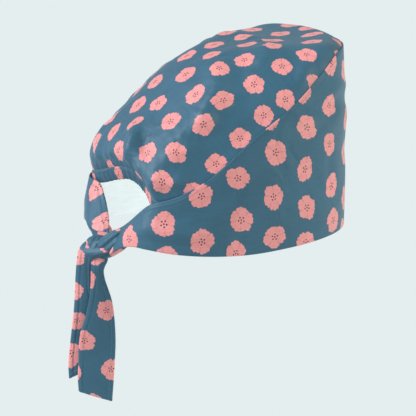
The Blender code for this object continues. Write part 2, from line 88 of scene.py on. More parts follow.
class Kind(Enum):
    """What a socket of a node group carries."""

    NUMBER = "NodeSocketFloat"
    VECTOR = "NodeSocketVector"
    COLOUR = "NodeSocketColor"


def through(places: Sequence[float], values: Sequence[float], at: np.ndarray) -> np.ndarray:
    """Read a smooth curve through chosen points, level at both ends.

    Args:
        places: where the points lie, rising.
        values: the curve's value at each of them.
        at: where to read it.

    Returns:
        The value at each place.
    """
    xs = np.asarray(places, dtype=float)
    ys = np.asarray(values, dtype=float)
    slopes = np.gradient(ys, xs)
    slopes[[0, -1]] = 0.0
    at = np.clip(np.asarray(at, dtype=float), xs[0], xs[-1])
    left = np.clip(np.searchsorted(xs, at, side="right") - 1, 0, len(xs) - 2)
    span = xs[left + 1] - xs[left]
    t = (at - xs[left]) / span
    rise = (2 * t**3 - 3 * t**2 + 1) * ys[left] + (3 * t**2 - 2 * t**3) * ys[left + 1]
    lean = (t**3 - 2 * t**2 + t) * slopes[left] + (t**3 - t**2) * slopes[left + 1]
    return rise + span * lean


def column(rows: Sequence, name: str, at: np.ndarray, key: str = "turn") -> np.ndarray:
    """Read one column of a table of rows on a smooth curve, by its key column."""
    return through([getattr(row, key) for row in rows], [getattr(row, name) for row in rows], at)


def rows_of(kind: type, *values: tuple) -> tuple:
    """The rows of a table, each made of its own values."""
    return tuple(kind(*row) for row in values)


def ease(value: np.ndarray, start: float, end: float) -> np.ndarray:
    """Rise smoothly from 0 at the start to 1 at the end."""
    t = np.clip((np.asarray(value, dtype=float) - start) / (end - start), 0.0, 1.0)
    return t * t * (3.0 - 2.0 * t)


def bell(away: np.ndarray, spread: float) -> np.ndarray:
    """1 in the middle, falling off smoothly over the spread on both sides."""
    return np.exp(-((away / spread) ** 2))


def signed_turn(turn: np.ndarray) -> np.ndarray:
    """The turn between -180 and 180, positive on the wearer's right."""
    return np.mod(np.asarray(turn, dtype=float) + 180.0, FULL_TURN) - 180.0


def from_front(turn: np.ndarray) -> np.ndarray:
    """The turn without its side: 0 at the front to 180 at the nape."""
    return np.abs(signed_turn(turn))


def unit(vectors: np.ndarray) -> np.ndarray:
    """Vectors at a length of one."""
    return vectors / np.maximum(np.linalg.norm(vectors, axis=-1, keepdims=True), TINY)


def pairs(first: np.ndarray, second: np.ndarray) -> np.ndarray:
    """Flat places from their two coordinates, which are spread over each other."""
    return np.stack(np.broadcast_arrays(first, second), axis=-1)


def run_along(line: np.ndarray) -> np.ndarray:
    """The way along a line to each of its points."""
    return np.concatenate([[0.0], np.cumsum(np.linalg.norm(np.diff(line, axis=0), axis=1))])


def polar(turn: np.ndarray, reach: np.ndarray, height: np.ndarray) -> np.ndarray:
    """Points at a turn, a distance from the middle line and a height."""
    angle = np.radians(turn)
    return np.stack(np.broadcast_arrays(-reach * np.sin(angle), -reach * np.cos(angle), height), axis=-1)


def skin(surface: Surface, turn: np.ndarray, share: np.ndarray, depth: np.ndarray) -> np.ndarray:
    """Points under a surface, a depth inward along its normal.

    Args:
        surface: gives points for turns and shares.
        turn: the turns.
        share: the shares of the way across the surface.
        depth: how deep under it, or less than 0 for above it.

    Returns:
        The points, with the shape of the turns and shares together.
    """
    turn, share = np.broadcast_arrays(np.asarray(turn, dtype=float), np.asarray(share, dtype=float))
    half_turn, half_share = 0.5, 0.01
    along = surface(turn + half_turn, share) - surface(turn - half_turn, share)
    up = surface(turn, share + half_share) - surface(turn, share - half_share)
    return surface(turn, share) - unit(np.cross(up, along)) * np.asarray(depth)[..., None]


def grid_normals(points: np.ndarray, closed: bool = False) -> np.ndarray:
    """Unit normals of a grid of points, from the differences along its rows and columns."""
    down = np.gradient(points, axis=0)
    if closed:
        across = np.roll(points, -1, axis=1) - np.roll(points, 1, axis=1)
    else:
        across = np.gradient(points, axis=1)
    return unit(np.cross(down, across))


def grid_quads(rows: int, columns: int, closed: bool) -> np.ndarray:
    """The point numbers of a grid's four-sided faces, joined round where it is closed."""
    number = np.arange(rows * columns).reshape(rows, columns)
    after = np.roll(number, -1, axis=1) if closed else number[:, 1:]
    before = number if closed else number[:, :-1]
    return np.stack([before[:-1], after[:-1], after[1:], before[1:]], axis=-1).reshape(-1, 4)


def smooth_line(points: np.ndarray, count: int) -> np.ndarray:
    """Even samples of a smooth line through a few points, whose first three columns are places."""
    points = np.asarray(points, dtype=float)
    steps = run_along(points[:, :3])
    padded = np.concatenate([2 * points[:1] - points[1:2], points, 2 * points[-1:] - points[-2:-1]])
    at = np.linspace(0.0, steps[-1], count)
    left = np.clip(np.searchsorted(steps, at, side="right") - 1, 0, len(points) - 2)
    t = ((at - steps[left]) / np.maximum(steps[left + 1] - steps[left], TINY))[:, None]
    a, b, c, d = padded[left], padded[left + 1], padded[left + 2], padded[left + 3]
    return 0.5 * (2 * b + (c - a) * t + (2 * a - 5 * b + 4 * c - d) * t**2 + (3 * b - a - 3 * c + d) * t**3)


@dataclass(frozen=True)
class BandStation:
    """The band at one turn: shares of rim wave, band height, lean and belly."""

    turn: float
    rim: float
    top: float
    lean: float
    belly: float


@dataclass(frozen=True)
class ArchRow:
    """The casing's lower edge at one turn, right to left: shares of the opening's reach and height."""

    turn: float
    reach: float
    height: float


@dataclass(frozen=True)
class CrownRing:
    """One ring of the crown: how far out and how high, towards the front, the sides and the back."""

    along: float
    front_out: float
    front_up: float
    side_out: float
    side_up: float
    back_out: float
    back_up: float


@dataclass(frozen=True)
class Pucker:
    """A gather of the crown: its root's turn, how far up it runs, drift and spread in degrees, its rise."""

    turn: float
    run: float
    drift: float
    spread: float
    rise: float


@dataclass(frozen=True)
class SoftFold:
    """A soft ridge, or a groove where its rise is below 0, along places (turn, share) on the cloth."""

    line: tuple[tuple[float, float], ...]
    rise_mm: float
    width_mm: float


@dataclass(frozen=True)
class TieRow:
    """A tie end at one height: its edges and how far out they stand, in the knot's own frame (mm)."""

    up: float
    left: float
    right: float
    left_out: float
    right_out: float


@dataclass(frozen=True)
class WrapRow:
    """The knot's belt at one place: its middle, the way across and its half width, in the knot's frame (mm)."""

    middle: Triple
    across: Triple
    half: float


BAND_STATIONS = rows_of(
    BandStation,
    (0, 0.70, 1.000, 0.08, 0.6), (20, 0.72, 1.000, 0.08, 0.6), (36, 0.70, 0.985, 0.10, 0.6),
    (48, 0.66, 0.918, 0.14, 0.6), (70, 0.40, 0.757, 0.18, 0.6), (95, 0.10, 0.596, 0.20, 0.6),
    (120, 0.30, 0.396, 0.24, 0.7), (134, 0.60, 0.317, 0.24, 0.8),
)

NEAR_STATIONS = BAND_STATIONS + rows_of(
    BandStation,
    (146, 0.95, 0.272, 0.26, 0.8), (153, 1.05, 0.218, 0.55, 0.4), (160, 0.65, 0.160, 0.62, 0.2),
    (167, -0.25, 0.112, 0.55, 0.0), (174, -1.10, 0.088, 0.40, 0.0),
)

FAR_STATIONS = BAND_STATIONS[:-1] + rows_of(
    BandStation,
    (134, 0.60, 0.317, 0.20, 0.8), (146, 1.20, 0.279, 0.16, 0.6), (155, 1.60, 0.258, 0.85, 0.4),
    (162, 1.65, 0.198, 1.00, 0.2), (168, 1.30, 0.152, 0.95, 0.0), (174, 0.20, 0.106, 0.80, 0.0),
    (179, -0.70, 0.052, 0.60, 0.0),
)

ARCH_ROWS = rows_of(
    ArchRow,
    (141, 1.16, 0.70), (146, 1.135, 0.77), (151, 1.10, 0.93), (158, 1.06, 1.05), (168, 1.02, 1.09),
    (180, 1.00, 1.03), (192, 1.01, 0.94), (203, 1.065, 0.84), (212, 1.135, 0.765), (219, 1.19, 0.72),
)

CROWN_RINGS = rows_of(
    CrownRing,
    (0.00, 1.00, 0.00, 1.00, 0.00, 1.00, 0.00), (0.10, 0.96, 0.23, 0.95, 0.13, 0.975, 0.21),
    (0.25, 0.79, 0.44, 0.89, 0.34, 0.93, 0.40), (0.40, 0.63, 0.64, 0.80, 0.58, 0.84, 0.57),
    (0.55, 0.48, 0.80, 0.67, 0.77, 0.68, 0.70), (0.72, 0.33, 0.91, 0.44, 0.91, 0.45, 0.82),
    (0.87, 0.17, 0.97, 0.21, 0.98, 0.22, 0.92), (1.00, 0.00, 1.00, 0.00, 1.00, 0.00, 1.00),
)

PUCKERS = rows_of(
    Pucker,
    (130, 0.34, -6, 4.0, 0.5), (144, 0.50, -8, 3.6, 0.9), (154, 0.40, -5, 3.2, 0.9), (163, 0.52, -4, 3.2, 1.0),
    (172, 0.38, -2, 3.0, 0.9), (181, 0.50, 1, 3.2, 1.0), (190, 0.36, 3, 3.0, 0.8), (199, 0.48, 5, 3.4, 1.0),
    (209, 0.38, 6, 3.4, 0.8), (222, 0.42, 9, 4.0, 0.7),
)

BAND_FOLDS = rows_of(
    SoftFold,
    (((10, 0.76), (51, 0.86), (70, 0.95)), 1.5, 5.0), (((12, 0.68), (53, 0.78), (74, 0.86)), -1.5, 6.0),
    (((4, 0.58), (46, 0.68), (68, 0.72)), 1.7, 8.0), (((2, 0.40), (30, 0.44), (50, 0.50)), -1.2, 10.0),
    (((44, 0.55), (46, 0.35), (44, 0.20)), -0.9, 6.0),
    (((158, 0.52), (141, 0.42), (129, 0.34), (110, 0.24)), 1.6, 5.5),
    (((154, 0.26), (136, 0.18), (118, 0.12)), -1.0, 5.0), (((142, 0.66), (124, 0.68), (106, 0.76)), -1.7, 7.5),
    (((100, 0.46), (80, 0.50), (62, 0.56)), 1.2, 10.0), (((-20, 0.66), (-48, 0.56), (-75, 0.60)), 1.5, 9.0),
    (((-24, 0.84), (-50, 0.80), (-70, 0.84)), -1.3, 6.5),
    (((-100, 0.34), (-130, 0.32), (-152, 0.42)), 1.5, 6.5),
    (((-88, 0.50), (-112, 0.52), (-136, 0.62)), -1.3, 7.5),
)

CROWN_FOLDS = rows_of(
    SoftFold,
    (((50, 0.80), (72, 0.69), (90, 0.57), (103, 0.50), (113, 0.48), (122, 0.47), (130, 0.42)), 4.0, 9.5),
    (((36, 0.74), (62, 0.54), (84, 0.42), (104, 0.36)), -2.4, 15.0),
    (((112, 0.40), (121, 0.42), (131, 0.45)), -2.0, 5.0),
    (((116, 0.40), (127, 0.41), (133, 0.30), (134, 0.20)), 1.9, 6.5),
    (((150, 0.54), (144, 0.44), (142, 0.32)), -2.2, 4.5),
    (((166, 0.54), (158, 0.43), (159, 0.28), (161, 0.14)), 2.8, 5.5),
    (((156, 0.50), (151, 0.38), (153, 0.22)), -2.2, 4.5), (((-170, 0.52), (180, 0.38), (176, 0.22)), 1.3, 6.5),
    (((176, 0.48), (171, 0.34), (169, 0.22)), -1.8, 4.5),
    (((-157, 0.46), (-158, 0.30), (-152, 0.12)), 1.0, 6.5),
    (((-112, 0.60), (-138, 0.59), (-162, 0.60), (168, 0.64)), -0.5, 13.0),
    (((-108, 0.76), (-150, 0.76), (165, 0.78)), 0.4, 14.0), (((46, 0.18), (60, 0.06)), 1.4, 5.0),
    (((142, 0.28), (134, 0.16), (127, 0.08)), 1.6, 5.0), (((98, 0.22), (82, 0.24), (66, 0.22)), 1.3, 9.0),
    (((-118, 0.52), (-112, 0.46), (-122, 0.36), (-130, 0.22)), 1.2, 9.0),
    (((-60, 0.36), (-80, 0.46), (-100, 0.50)), 1.1, 11.0),
    (((-44, 0.62), (-66, 0.56), (-90, 0.60)), -1.0, 12.0),
)

NEAR_TIE_ROWS = rows_of(
    TieRow,
    (2.0, -1.5, 9.0, 2.0, 5.0), (-4.0, -2.8, 8.0, 3.5, 7.0), (-8.5, -3.3, 7.6, 4.6, 7.4),
    (-12.5, -3.4, 6.0, 5.0, 6.4), (-16.5, -3.6, 5.0, 4.6, 5.0), (-20.5, -3.7, 5.4, 4.2, 4.4),
    (-24.0, -3.7, 6.2, 4.0, 4.0), (-31.0, -4.1, 8.5, 3.9, 3.4), (-38.0, -5.0, 10.6, 3.8, 2.8),
    (-44.5, -6.2, 11.8, 3.6, 2.6), (-52.5, -7.9, 12.7, 3.4, 2.4), (-62.5, -11.2, 13.3, 3.2, 2.2),
    (-70.0, -12.3, 13.5, 3.0, 2.0), (-87.0, -13.2, 12.8, 2.6, 2.2), (-101.5, -13.7, 11.8, 2.4, 2.6),
    (-112.4, -13.3, 10.9, 2.4, 2.8),
)

FAR_TIE_ROWS = rows_of(
    TieRow,
    (14.5, -7.5, 8.0, -26.5, -21.0), (11.5, -5.1, 10.9, -17.0, -13.0), (8.3, -2.5, 10.9, -8.0, 2.0),
    (6.2, -5.5, 10.2, -4.0, 8.0), (3.6, -9.9, 9.0, 0.0, 12.5), (1.0, -12.0, 7.5, 1.5, 14.5),
    (-1.6, -13.3, 2.7, 1.8, 13.0), (-4.2, -13.7, -1.8, 1.6, 8.5), (-8.0, -14.2, -3.0, 1.2, 5.4),
    (-12.5, -14.6, -3.4, 0.8, 3.6), (-21.0, -15.2, -3.4, -0.4, 1.6), (-34.5, -15.8, -2.6, -1.8, 0.4),
    (-48.5, -16.6, 3.0, -3.0, -2.0), (-65.5, -18.5, 4.6, -4.0, -3.2), (-80.5, -20.2, 3.4, -4.2, -3.6),
    (-88.0, -20.9, 2.4, -3.8, -3.6), (-94.5, -20.6, 2.2, -3.6, -3.4),
)

BELT_ROWS = rows_of(
    WrapRow,
    ((21.0, 12.5, 17.0), (0.10, 1.0, -0.10), 7.0), ((16.0, 9.4, 16.0), (0.06, 1.0, -0.10), 8.2),
    ((11.0, 5.4, 13.4), (-0.20, 1.0, 0.05), 8.2), ((6.5, 1.6, 9.6), (-0.35, 1.0, 0.10), 7.6),
    ((2.0, -1.6, 5.6), (-0.40, 1.0, 0.10), 6.4), ((-2.0, -3.0, 1.0), (-0.30, 1.0, 0.10), 5.6),
    ((-4.5, -3.0, -4.0), (0.0, 1.0, 0.0), 5.4), ((-3.0, -2.0, -9.0), (0.0, 1.0, 0.0), 6.0),
)


@dataclass
class HeadOval:
    """The oval of the rim, squarer at the back than at the front."""

    half_width: float = 80.0 * MM
    front_reach: float = 99.5 * MM
    back_reach: float = 93.5 * MM
    front_squareness: float = 2.1
    back_squareness: float = 2.8

    def reach(self, turn: np.ndarray) -> np.ndarray:
        """Distance from the middle line to the outside of the rim."""
        angle = np.radians(from_front(turn))
        side = np.abs(np.sin(angle)) / self.half_width
        ahead = np.abs(np.cos(angle)) / np.where(np.cos(angle) > 0.0, self.front_reach, self.back_reach)
        step = 0.5 - 0.5 * np.cos(angle)
        square = self.front_squareness + (self.back_squareness - self.front_squareness) * step
        return (side**square + ahead**square) ** (-1.0 / square)


@dataclass
class BandShape:
    """The plain form of the front band and its two strips."""

    oval: HeadOval = field(default_factory=HeadOval)
    height: float = 140.0 * MM
    rim_wave: float = 6.5 * MM
    belly: float = 2.2 * MM
    strip_lean: float = 14.0 * MM
    lean_curve: float = 1.6
    highest_share: float = 1.2

    def value(self, name: str, turn: np.ndarray) -> np.ndarray:
        """Read a column of the band's stations, each side from its own."""
        place = from_front(turn)
        near = column(NEAR_STATIONS, name, place)
        far = column(FAR_STATIONS, name, place)
        return np.where(signed_turn(turn) > 0.0, near, far)

    def edges(self, turn: np.ndarray) -> tuple[np.ndarray, np.ndarray]:
        """Heights of the rim and of the top edge."""
        return self.rim_wave * self.value("rim", turn), self.height * self.value("top", turn)

    def outside(self, turn: np.ndarray, share: np.ndarray) -> np.ndarray:
        """Points on the outer side: a share of 0 is on the rim, and 1 is on the top edge."""
        rim, top = self.edges(turn)
        curve = np.clip(share, 0.0, self.highest_share) ** self.lean_curve
        lean = self.strip_lean * self.value("lean", turn) * curve
        belly = self.belly * self.value("belly", turn) * np.sin(np.pi * np.clip(share, 0.0, 1.0))
        return polar(turn, self.oval.reach(turn) - lean + belly, rim + share * (top - rim))


@dataclass
class CasingShape:
    """The plain form of the channel that arches over the ponytail opening."""

    band: BandShape
    reach: float = 76.0 * MM
    arch: float = 46.5 * MM
    height: float = 9.0 * MM
    lean: float = 3.0 * MM
    end_turn: float = 141.0
    clear_turn: float = 151.0
    tuck: float = 1.5 * MM

    def middle(self, turn: np.ndarray, share: np.ndarray) -> np.ndarray:
        """The plain outer face, from its lower edge (0) to its upper (1), its ends inside the band."""
        place = np.mod(turn, FULL_TURN)
        free = ease(from_front(turn), self.end_turn, self.clear_turn)
        reach = self.reach * column(ARCH_ROWS, "reach", place) + self.lean * share
        height = self.arch * column(ARCH_ROWS, "height", place) + self.height * share
        rim, top = self.band.edges(turn)
        tucked = skin(self.band.outside, turn, (height - rim) / (top - rim), np.full(place.shape, self.tuck))
        return tucked + (polar(turn, reach, height) - tucked) * free[..., None]


@dataclass
class CrownShape:
    """The plain form of the crown."""

    band: BandShape
    casing: CasingShape
    rise: float = 40.0 * MM
    top_back: float = 8.0 * MM
    top_height: float = 92.0 * MM
    tilt: float = 34.5
    tuck: float = 1.3 * MM
    back_tuck: float = 0.5 * MM
    back_turns: tuple[float, float] = (125.0, 140.0)
    casing_turns: tuple[float, float] = (140.0, 141.0)
    casing_tuck: float = 0.3 * MM
    above_edge: float = 0.3 * MM

    def hem(self, turn: np.ndarray, down: float) -> np.ndarray:
        """The tucked edge, a distance below the top edge of the band or the casing."""
        place = from_front(turn)
        rim, top = self.band.edges(turn)
        depth = self.tuck + self.back_tuck * ease(place, *self.back_turns)
        in_band = skin(self.band.outside, turn, 1.0 - down / (top - rim), depth)
        share = np.full(place.shape, 1.0 - down / self.casing.height)
        in_casing = skin(self.casing.middle, turn, share, np.full(place.shape, self.casing_tuck))
        return in_band + (in_casing - in_band) * ease(place, *self.casing_turns)[..., None]

    def outside(self, turns: np.ndarray, along: np.ndarray) -> np.ndarray:
        """The outer side of the crown.

        Args:
            turns: the turns of its spokes.
            along: the shares of the way from its edge to its top.

        Returns:
            The points, one row for each share.
        """
        tilt = math.radians(self.tilt)
        base = np.array([0.0, self.top_back, self.top_height])
        backward = np.array([0.0, math.cos(tilt), -math.sin(tilt)])
        upward = np.array([0.0, math.sin(tilt), math.cos(tilt)])
        away = self.hem(turns, -self.above_edge) - base
        side, back, lift = away[:, 0], away @ backward, away @ upward
        facing = np.arctan2(side, -back)
        ahead = np.cos(facing)
        shares = {"front": np.where(ahead > 0.0, ahead**2, 0.0), "side": np.sin(facing) ** 2,
                  "back": np.where(ahead < 0.0, ahead**2, 0.0)}
        rows = []
        for place in along:
            out, up = (sum(part * column(CROWN_RINGS, side_name + way, place, "along")
                           for side_name, part in shares.items())
                       for way in ("_out", "_up"))
            height = lift * (1.0 - ease(place, 0.0, 1.0)) + self.rise * up
            rows.append(base + np.outer(side * out, [1.0, 0.0, 0.0]) + np.outer(back * out, backward)
                        + np.outer(height, upward))
        return np.array(rows)


@dataclass(frozen=True)
class Gathers:
    """The fine pleats that the elastic draws along the ponytail opening."""

    end_turn: float = CasingShape.end_turn
    count: int = 50
    rise: float = 0.80 * MM
    calm: tuple[float, float] = (3.0, 9.0)

    def phase(self, turn: np.ndarray) -> np.ndarray:
        """How many pleats lie between the right end and a turn."""
        return (np.mod(turn, FULL_TURN) - self.end_turn) / (FULL_TURN - 2.0 * self.end_turn) * self.count

    def free(self, turn: np.ndarray) -> np.ndarray:
        """0 at the ends, where the cloth is sewn flat, to 1 clear of them."""
        return ease(from_front(turn), self.end_turn + self.calm[0], self.end_turn + self.calm[1])

    def lift(self, turn: np.ndarray) -> np.ndarray:
        """How far the pleats push the cloth out, each a little unlike the next."""
        phase = self.phase(turn)
        height = 0.75 + 0.25 * np.sin(1.7 * np.floor(phase) + 0.6)
        wave = 0.5 - 0.5 * np.cos(2.0 * np.pi * phase + 0.8 * np.sin(0.9 * phase))
        return self.rise * self.free(turn) * height * wave


def fold_heights(points: np.ndarray, folds: Sequence[SoftFold], place_of: Surface,
                 samples: int = 28) -> np.ndarray:
    """How far a set of soft folds lifts each point of the cloth.

    Args:
        points: the cloth, rows by columns.
        folds: the folds.
        place_of: gives the point on the cloth at a turn and a share.
        samples: how many places of each fold's line are tried.

    Returns:
        The lift of each point.
    """
    total = np.zeros(points.shape[:-1])
    for fold in folds:
        places = smooth_line(np.array([(turn, share, 0.0) for turn, share in fold.line]), samples)
        nearest = np.full(total.shape, np.inf)
        taper = np.zeros(total.shape)
        for index, spot in enumerate(place_of(places[:, 0], places[:, 1])):
            away = np.linalg.norm(points - spot, axis=-1)
            closer = away < nearest
            nearest = np.where(closer, away, nearest)
            taper = np.where(closer, math.sin(math.pi * (index + 0.5) / samples) ** 0.6, taper)
        total += fold.rise_mm * MM * taper * bell(nearest, fold.width_mm * MM)
    return total


def lay_flat(points: np.ndarray, rounds: int = 320, pace: float = 0.25) -> np.ndarray:
    """Lay a dome's cloth out flat with little stretch, by relaxing its threads to their own lengths.

    Args:
        points: rings of the dome, from its edge to its top, closed round.
        rounds: how often the threads are relaxed.
        pace: the share of each thread's error that one round takes up.

    Returns:
        Flat places in metres, rings by spokes by two.
    """
    steps = np.linalg.norm(np.diff(points, axis=0), axis=-1)
    reach = np.concatenate([np.cumsum(steps[::-1], axis=0)[::-1], np.zeros((1, points.shape[1]))])
    middle = points[0].mean(axis=0)
    facing = np.arctan2(points[0, :, 0] - middle[0], -(points[0, :, 1] - middle[1]))
    flat = np.stack([reach * np.sin(facing), -reach * np.cos(facing)], axis=-1)
    threads = []
    for down, right in ((1, 0), (0, 1), (1, 1), (1, -1)):
        other = np.roll(points, -right, axis=1)[down:]
        threads.append((down, right, np.linalg.norm(other - points[: len(points) - down], axis=-1)))
    for _ in range(rounds):
        push = np.zeros_like(flat)
        for down, right, length in threads:
            gap = np.roll(flat, -right, axis=1)[down:] - flat[: len(flat) - down]
            now = np.maximum(np.linalg.norm(gap, axis=-1), TINY)
            move = gap * (0.5 * (now - length) / now)[..., None]
            push[: len(flat) - down] += move
            push[down:] -= np.roll(move, right, axis=1)
        flat = flat + pace * push
    return flat


@dataclass
class Shell:
    """The points, maps and faces of a closed mesh, taken up one part at a time."""

    points: list[np.ndarray] = field(default_factory=list)
    layout: list[np.ndarray] = field(default_factory=list)
    edge: list[np.ndarray] = field(default_factory=list)
    faces: list[list[int]] = field(default_factory=list)
    sides: list[int] = field(default_factory=list)

    def add(self, points: np.ndarray, layout: np.ndarray, edge: np.ndarray) -> int:
        """Take up points with their places on both maps, and give the number of the first."""
        start = sum(len(part) for part in self.points)
        self.points.append(points)
        self.layout.append(layout)
        self.edge.append(edge)
        return start

    def face(self, corners: Sequence[int], side: Side = Side.PRINTED) -> None:
        """Take up a face on one side of the cloth."""
        self.faces.append([int(corner) for corner in corners])
        self.sides.append(side.value)

    def make(self, name: str) -> bpy.types.Object:
        """Make a smooth mesh object, linked to the scene, with the maps cloth_map and edge_map."""
        mesh = bpy.data.meshes.new(name)
        mesh.from_pydata(np.concatenate(self.points).tolist(), [], self.faces)
        mesh.polygons.foreach_set("material_index", self.sides)
        corners = np.zeros(len(mesh.loops), np.int32)
        mesh.loops.foreach_get("vertex_index", corners)
        for title, parts in (("cloth_map", self.layout), ("edge_map", self.edge)):
            made = mesh.uv_layers.new(name=title)
            made.data.foreach_set("uv", np.concatenate(parts)[corners].astype(np.float32).ravel())
        mesh.shade_smooth()
        mesh.update()
        piece = bpy.data.objects.new(name, mesh)
        bpy.context.scene.collection.objects.link(piece)
        return piece


@dataclass
class ClothPatch:
    """One layer of cloth: a grid of points with its flat layout, turned into a thin closed shell.

    A crowned patch joins its last column to its first, and its last row ends in one point.
    """

    points: np.ndarray
    layout: np.ndarray
    edge_map: np.ndarray
    wall: float
    crowned: bool = False
    printed_inside: Optional[np.ndarray] = None

    def borders(self) -> list[tuple[np.ndarray, np.ndarray]]:
        """The open borders, each as its point numbers and those of the next row in."""
        rows, columns = self.points.shape[:2]
        number = np.arange(rows * columns).reshape(rows, columns)
        if self.crowned:
            return [(np.append(number[0], number[0, 0]), np.append(number[1], number[1, 0]))]
        return [(number[0], number[1]), (number[:, -1], number[:, -2]),
                (number[-1][::-1], number[-2][::-1]), (number[::-1, 0], number[::-1, 1])]

    def build(self, name: str) -> bpy.types.Object:
        """Make the shell with its rounded hems, its two maps and its two sides.

        Args:
            name: the new object's name.

        Returns:
            The object, linked to the scene.
        """
        rows, columns = self.points.shape[:2]
        count = rows * columns
        outer = self.points.reshape(-1, 3)
        inner = outer - grid_normals(self.points, self.crowned).reshape(-1, 3) * self.wall
        layout, edge = self.layout.reshape(-1, 2), self.edge_map.reshape(-1, 2)
        printed = np.ones(count) if self.printed_inside is None else self.printed_inside.reshape(-1)
        shell = Shell()
        shell.add(outer, layout, edge)
        shell.add(inner, layout, edge)
        quads = grid_quads(rows, columns, self.crowned)
        for quad in quads:
            shell.face(quad)
        for quad, share in zip(quads[:, ::-1] + count, printed[quads].mean(axis=1)):
            shell.face(quad, Side.where(share))
        if self.crowned:
            self.close_top(shell, (outer, inner), layout, edge)
        starts = []
        borders = self.borders()
        for border, inward in borders:
            rim = 0.5 * (outer[border] + inner[border])
            rim += unit(outer[border] - outer[inward]) * (0.5 * self.wall)
            starts.append(shell.add(rim, layout[border], edge[border]))
            for step, (here, after) in enumerate(zip(border, border[1:]), starts[-1]):
                shell.face((here, step, step + 1, after))
                shell.face((step, here + count, after + count, step + 1), Side.where(printed[here]))
        if not self.crowned:
            for index, (border, _) in enumerate(borders):
                corner, last = border[-1], starts[index] + len(border) - 1
                following = starts[(index + 1) % len(starts)]
                shell.face((corner, last, following))
                shell.face((last, corner + count, following))
        return shell.make(name)

    def close_top(self, shell: Shell, layers: tuple[np.ndarray, np.ndarray], layout: np.ndarray,
                  edge: np.ndarray) -> None:
        """Close the last ring of both layers to a point.

        Args:
            shell: the shell so far.
            layers: the points of the outer and the inner layer.
            layout: their places on the flat cloth.
            edge: their places along and from the hem.
        """
        count, columns = len(layout), self.points.shape[1]
        tips = [shell.add(*(part[-columns:].mean(axis=0)[None] for part in (layer, layout, edge)))
                for layer in layers]
        ring = np.append(np.arange(count - columns, count), count - columns)
        for here, after in zip(ring, ring[1:]):
            shell.face((here, after, tips[0]))
            shell.face((after + count, here + count, tips[1]), Side.REVERSE)


class Signal:
    """A value on its way through a node tree, on which plain arithmetic adds nodes."""

    def __init__(self, wiring: "Wiring", socket: bpy.types.NodeSocket) -> None:
        """Keep the socket that gives the value, and the wiring it runs in."""
        self.wiring = wiring
        self.socket = socket

    def __add__(self, other: object) -> "Signal":
        """This value and another."""
        return self.wiring.math("ADD", self, other)

    def __radd__(self, other: object) -> "Signal":
        """A number and this value."""
        return self.wiring.math("ADD", other, self)

    def __sub__(self, other: object) -> "Signal":
        """This value less another."""
        return self.wiring.math("SUBTRACT", self, other)

    def __rsub__(self, other: object) -> "Signal":
        """A number less this value."""
        return self.wiring.math("SUBTRACT", other, self)

    def __mul__(self, other: object) -> "Signal":
        """This value times another."""
        return self.wiring.math("MULTIPLY", self, other)

    def __truediv__(self, other: object) -> "Signal":
        """This value over another."""
        return self.wiring.math("DIVIDE", self, other)


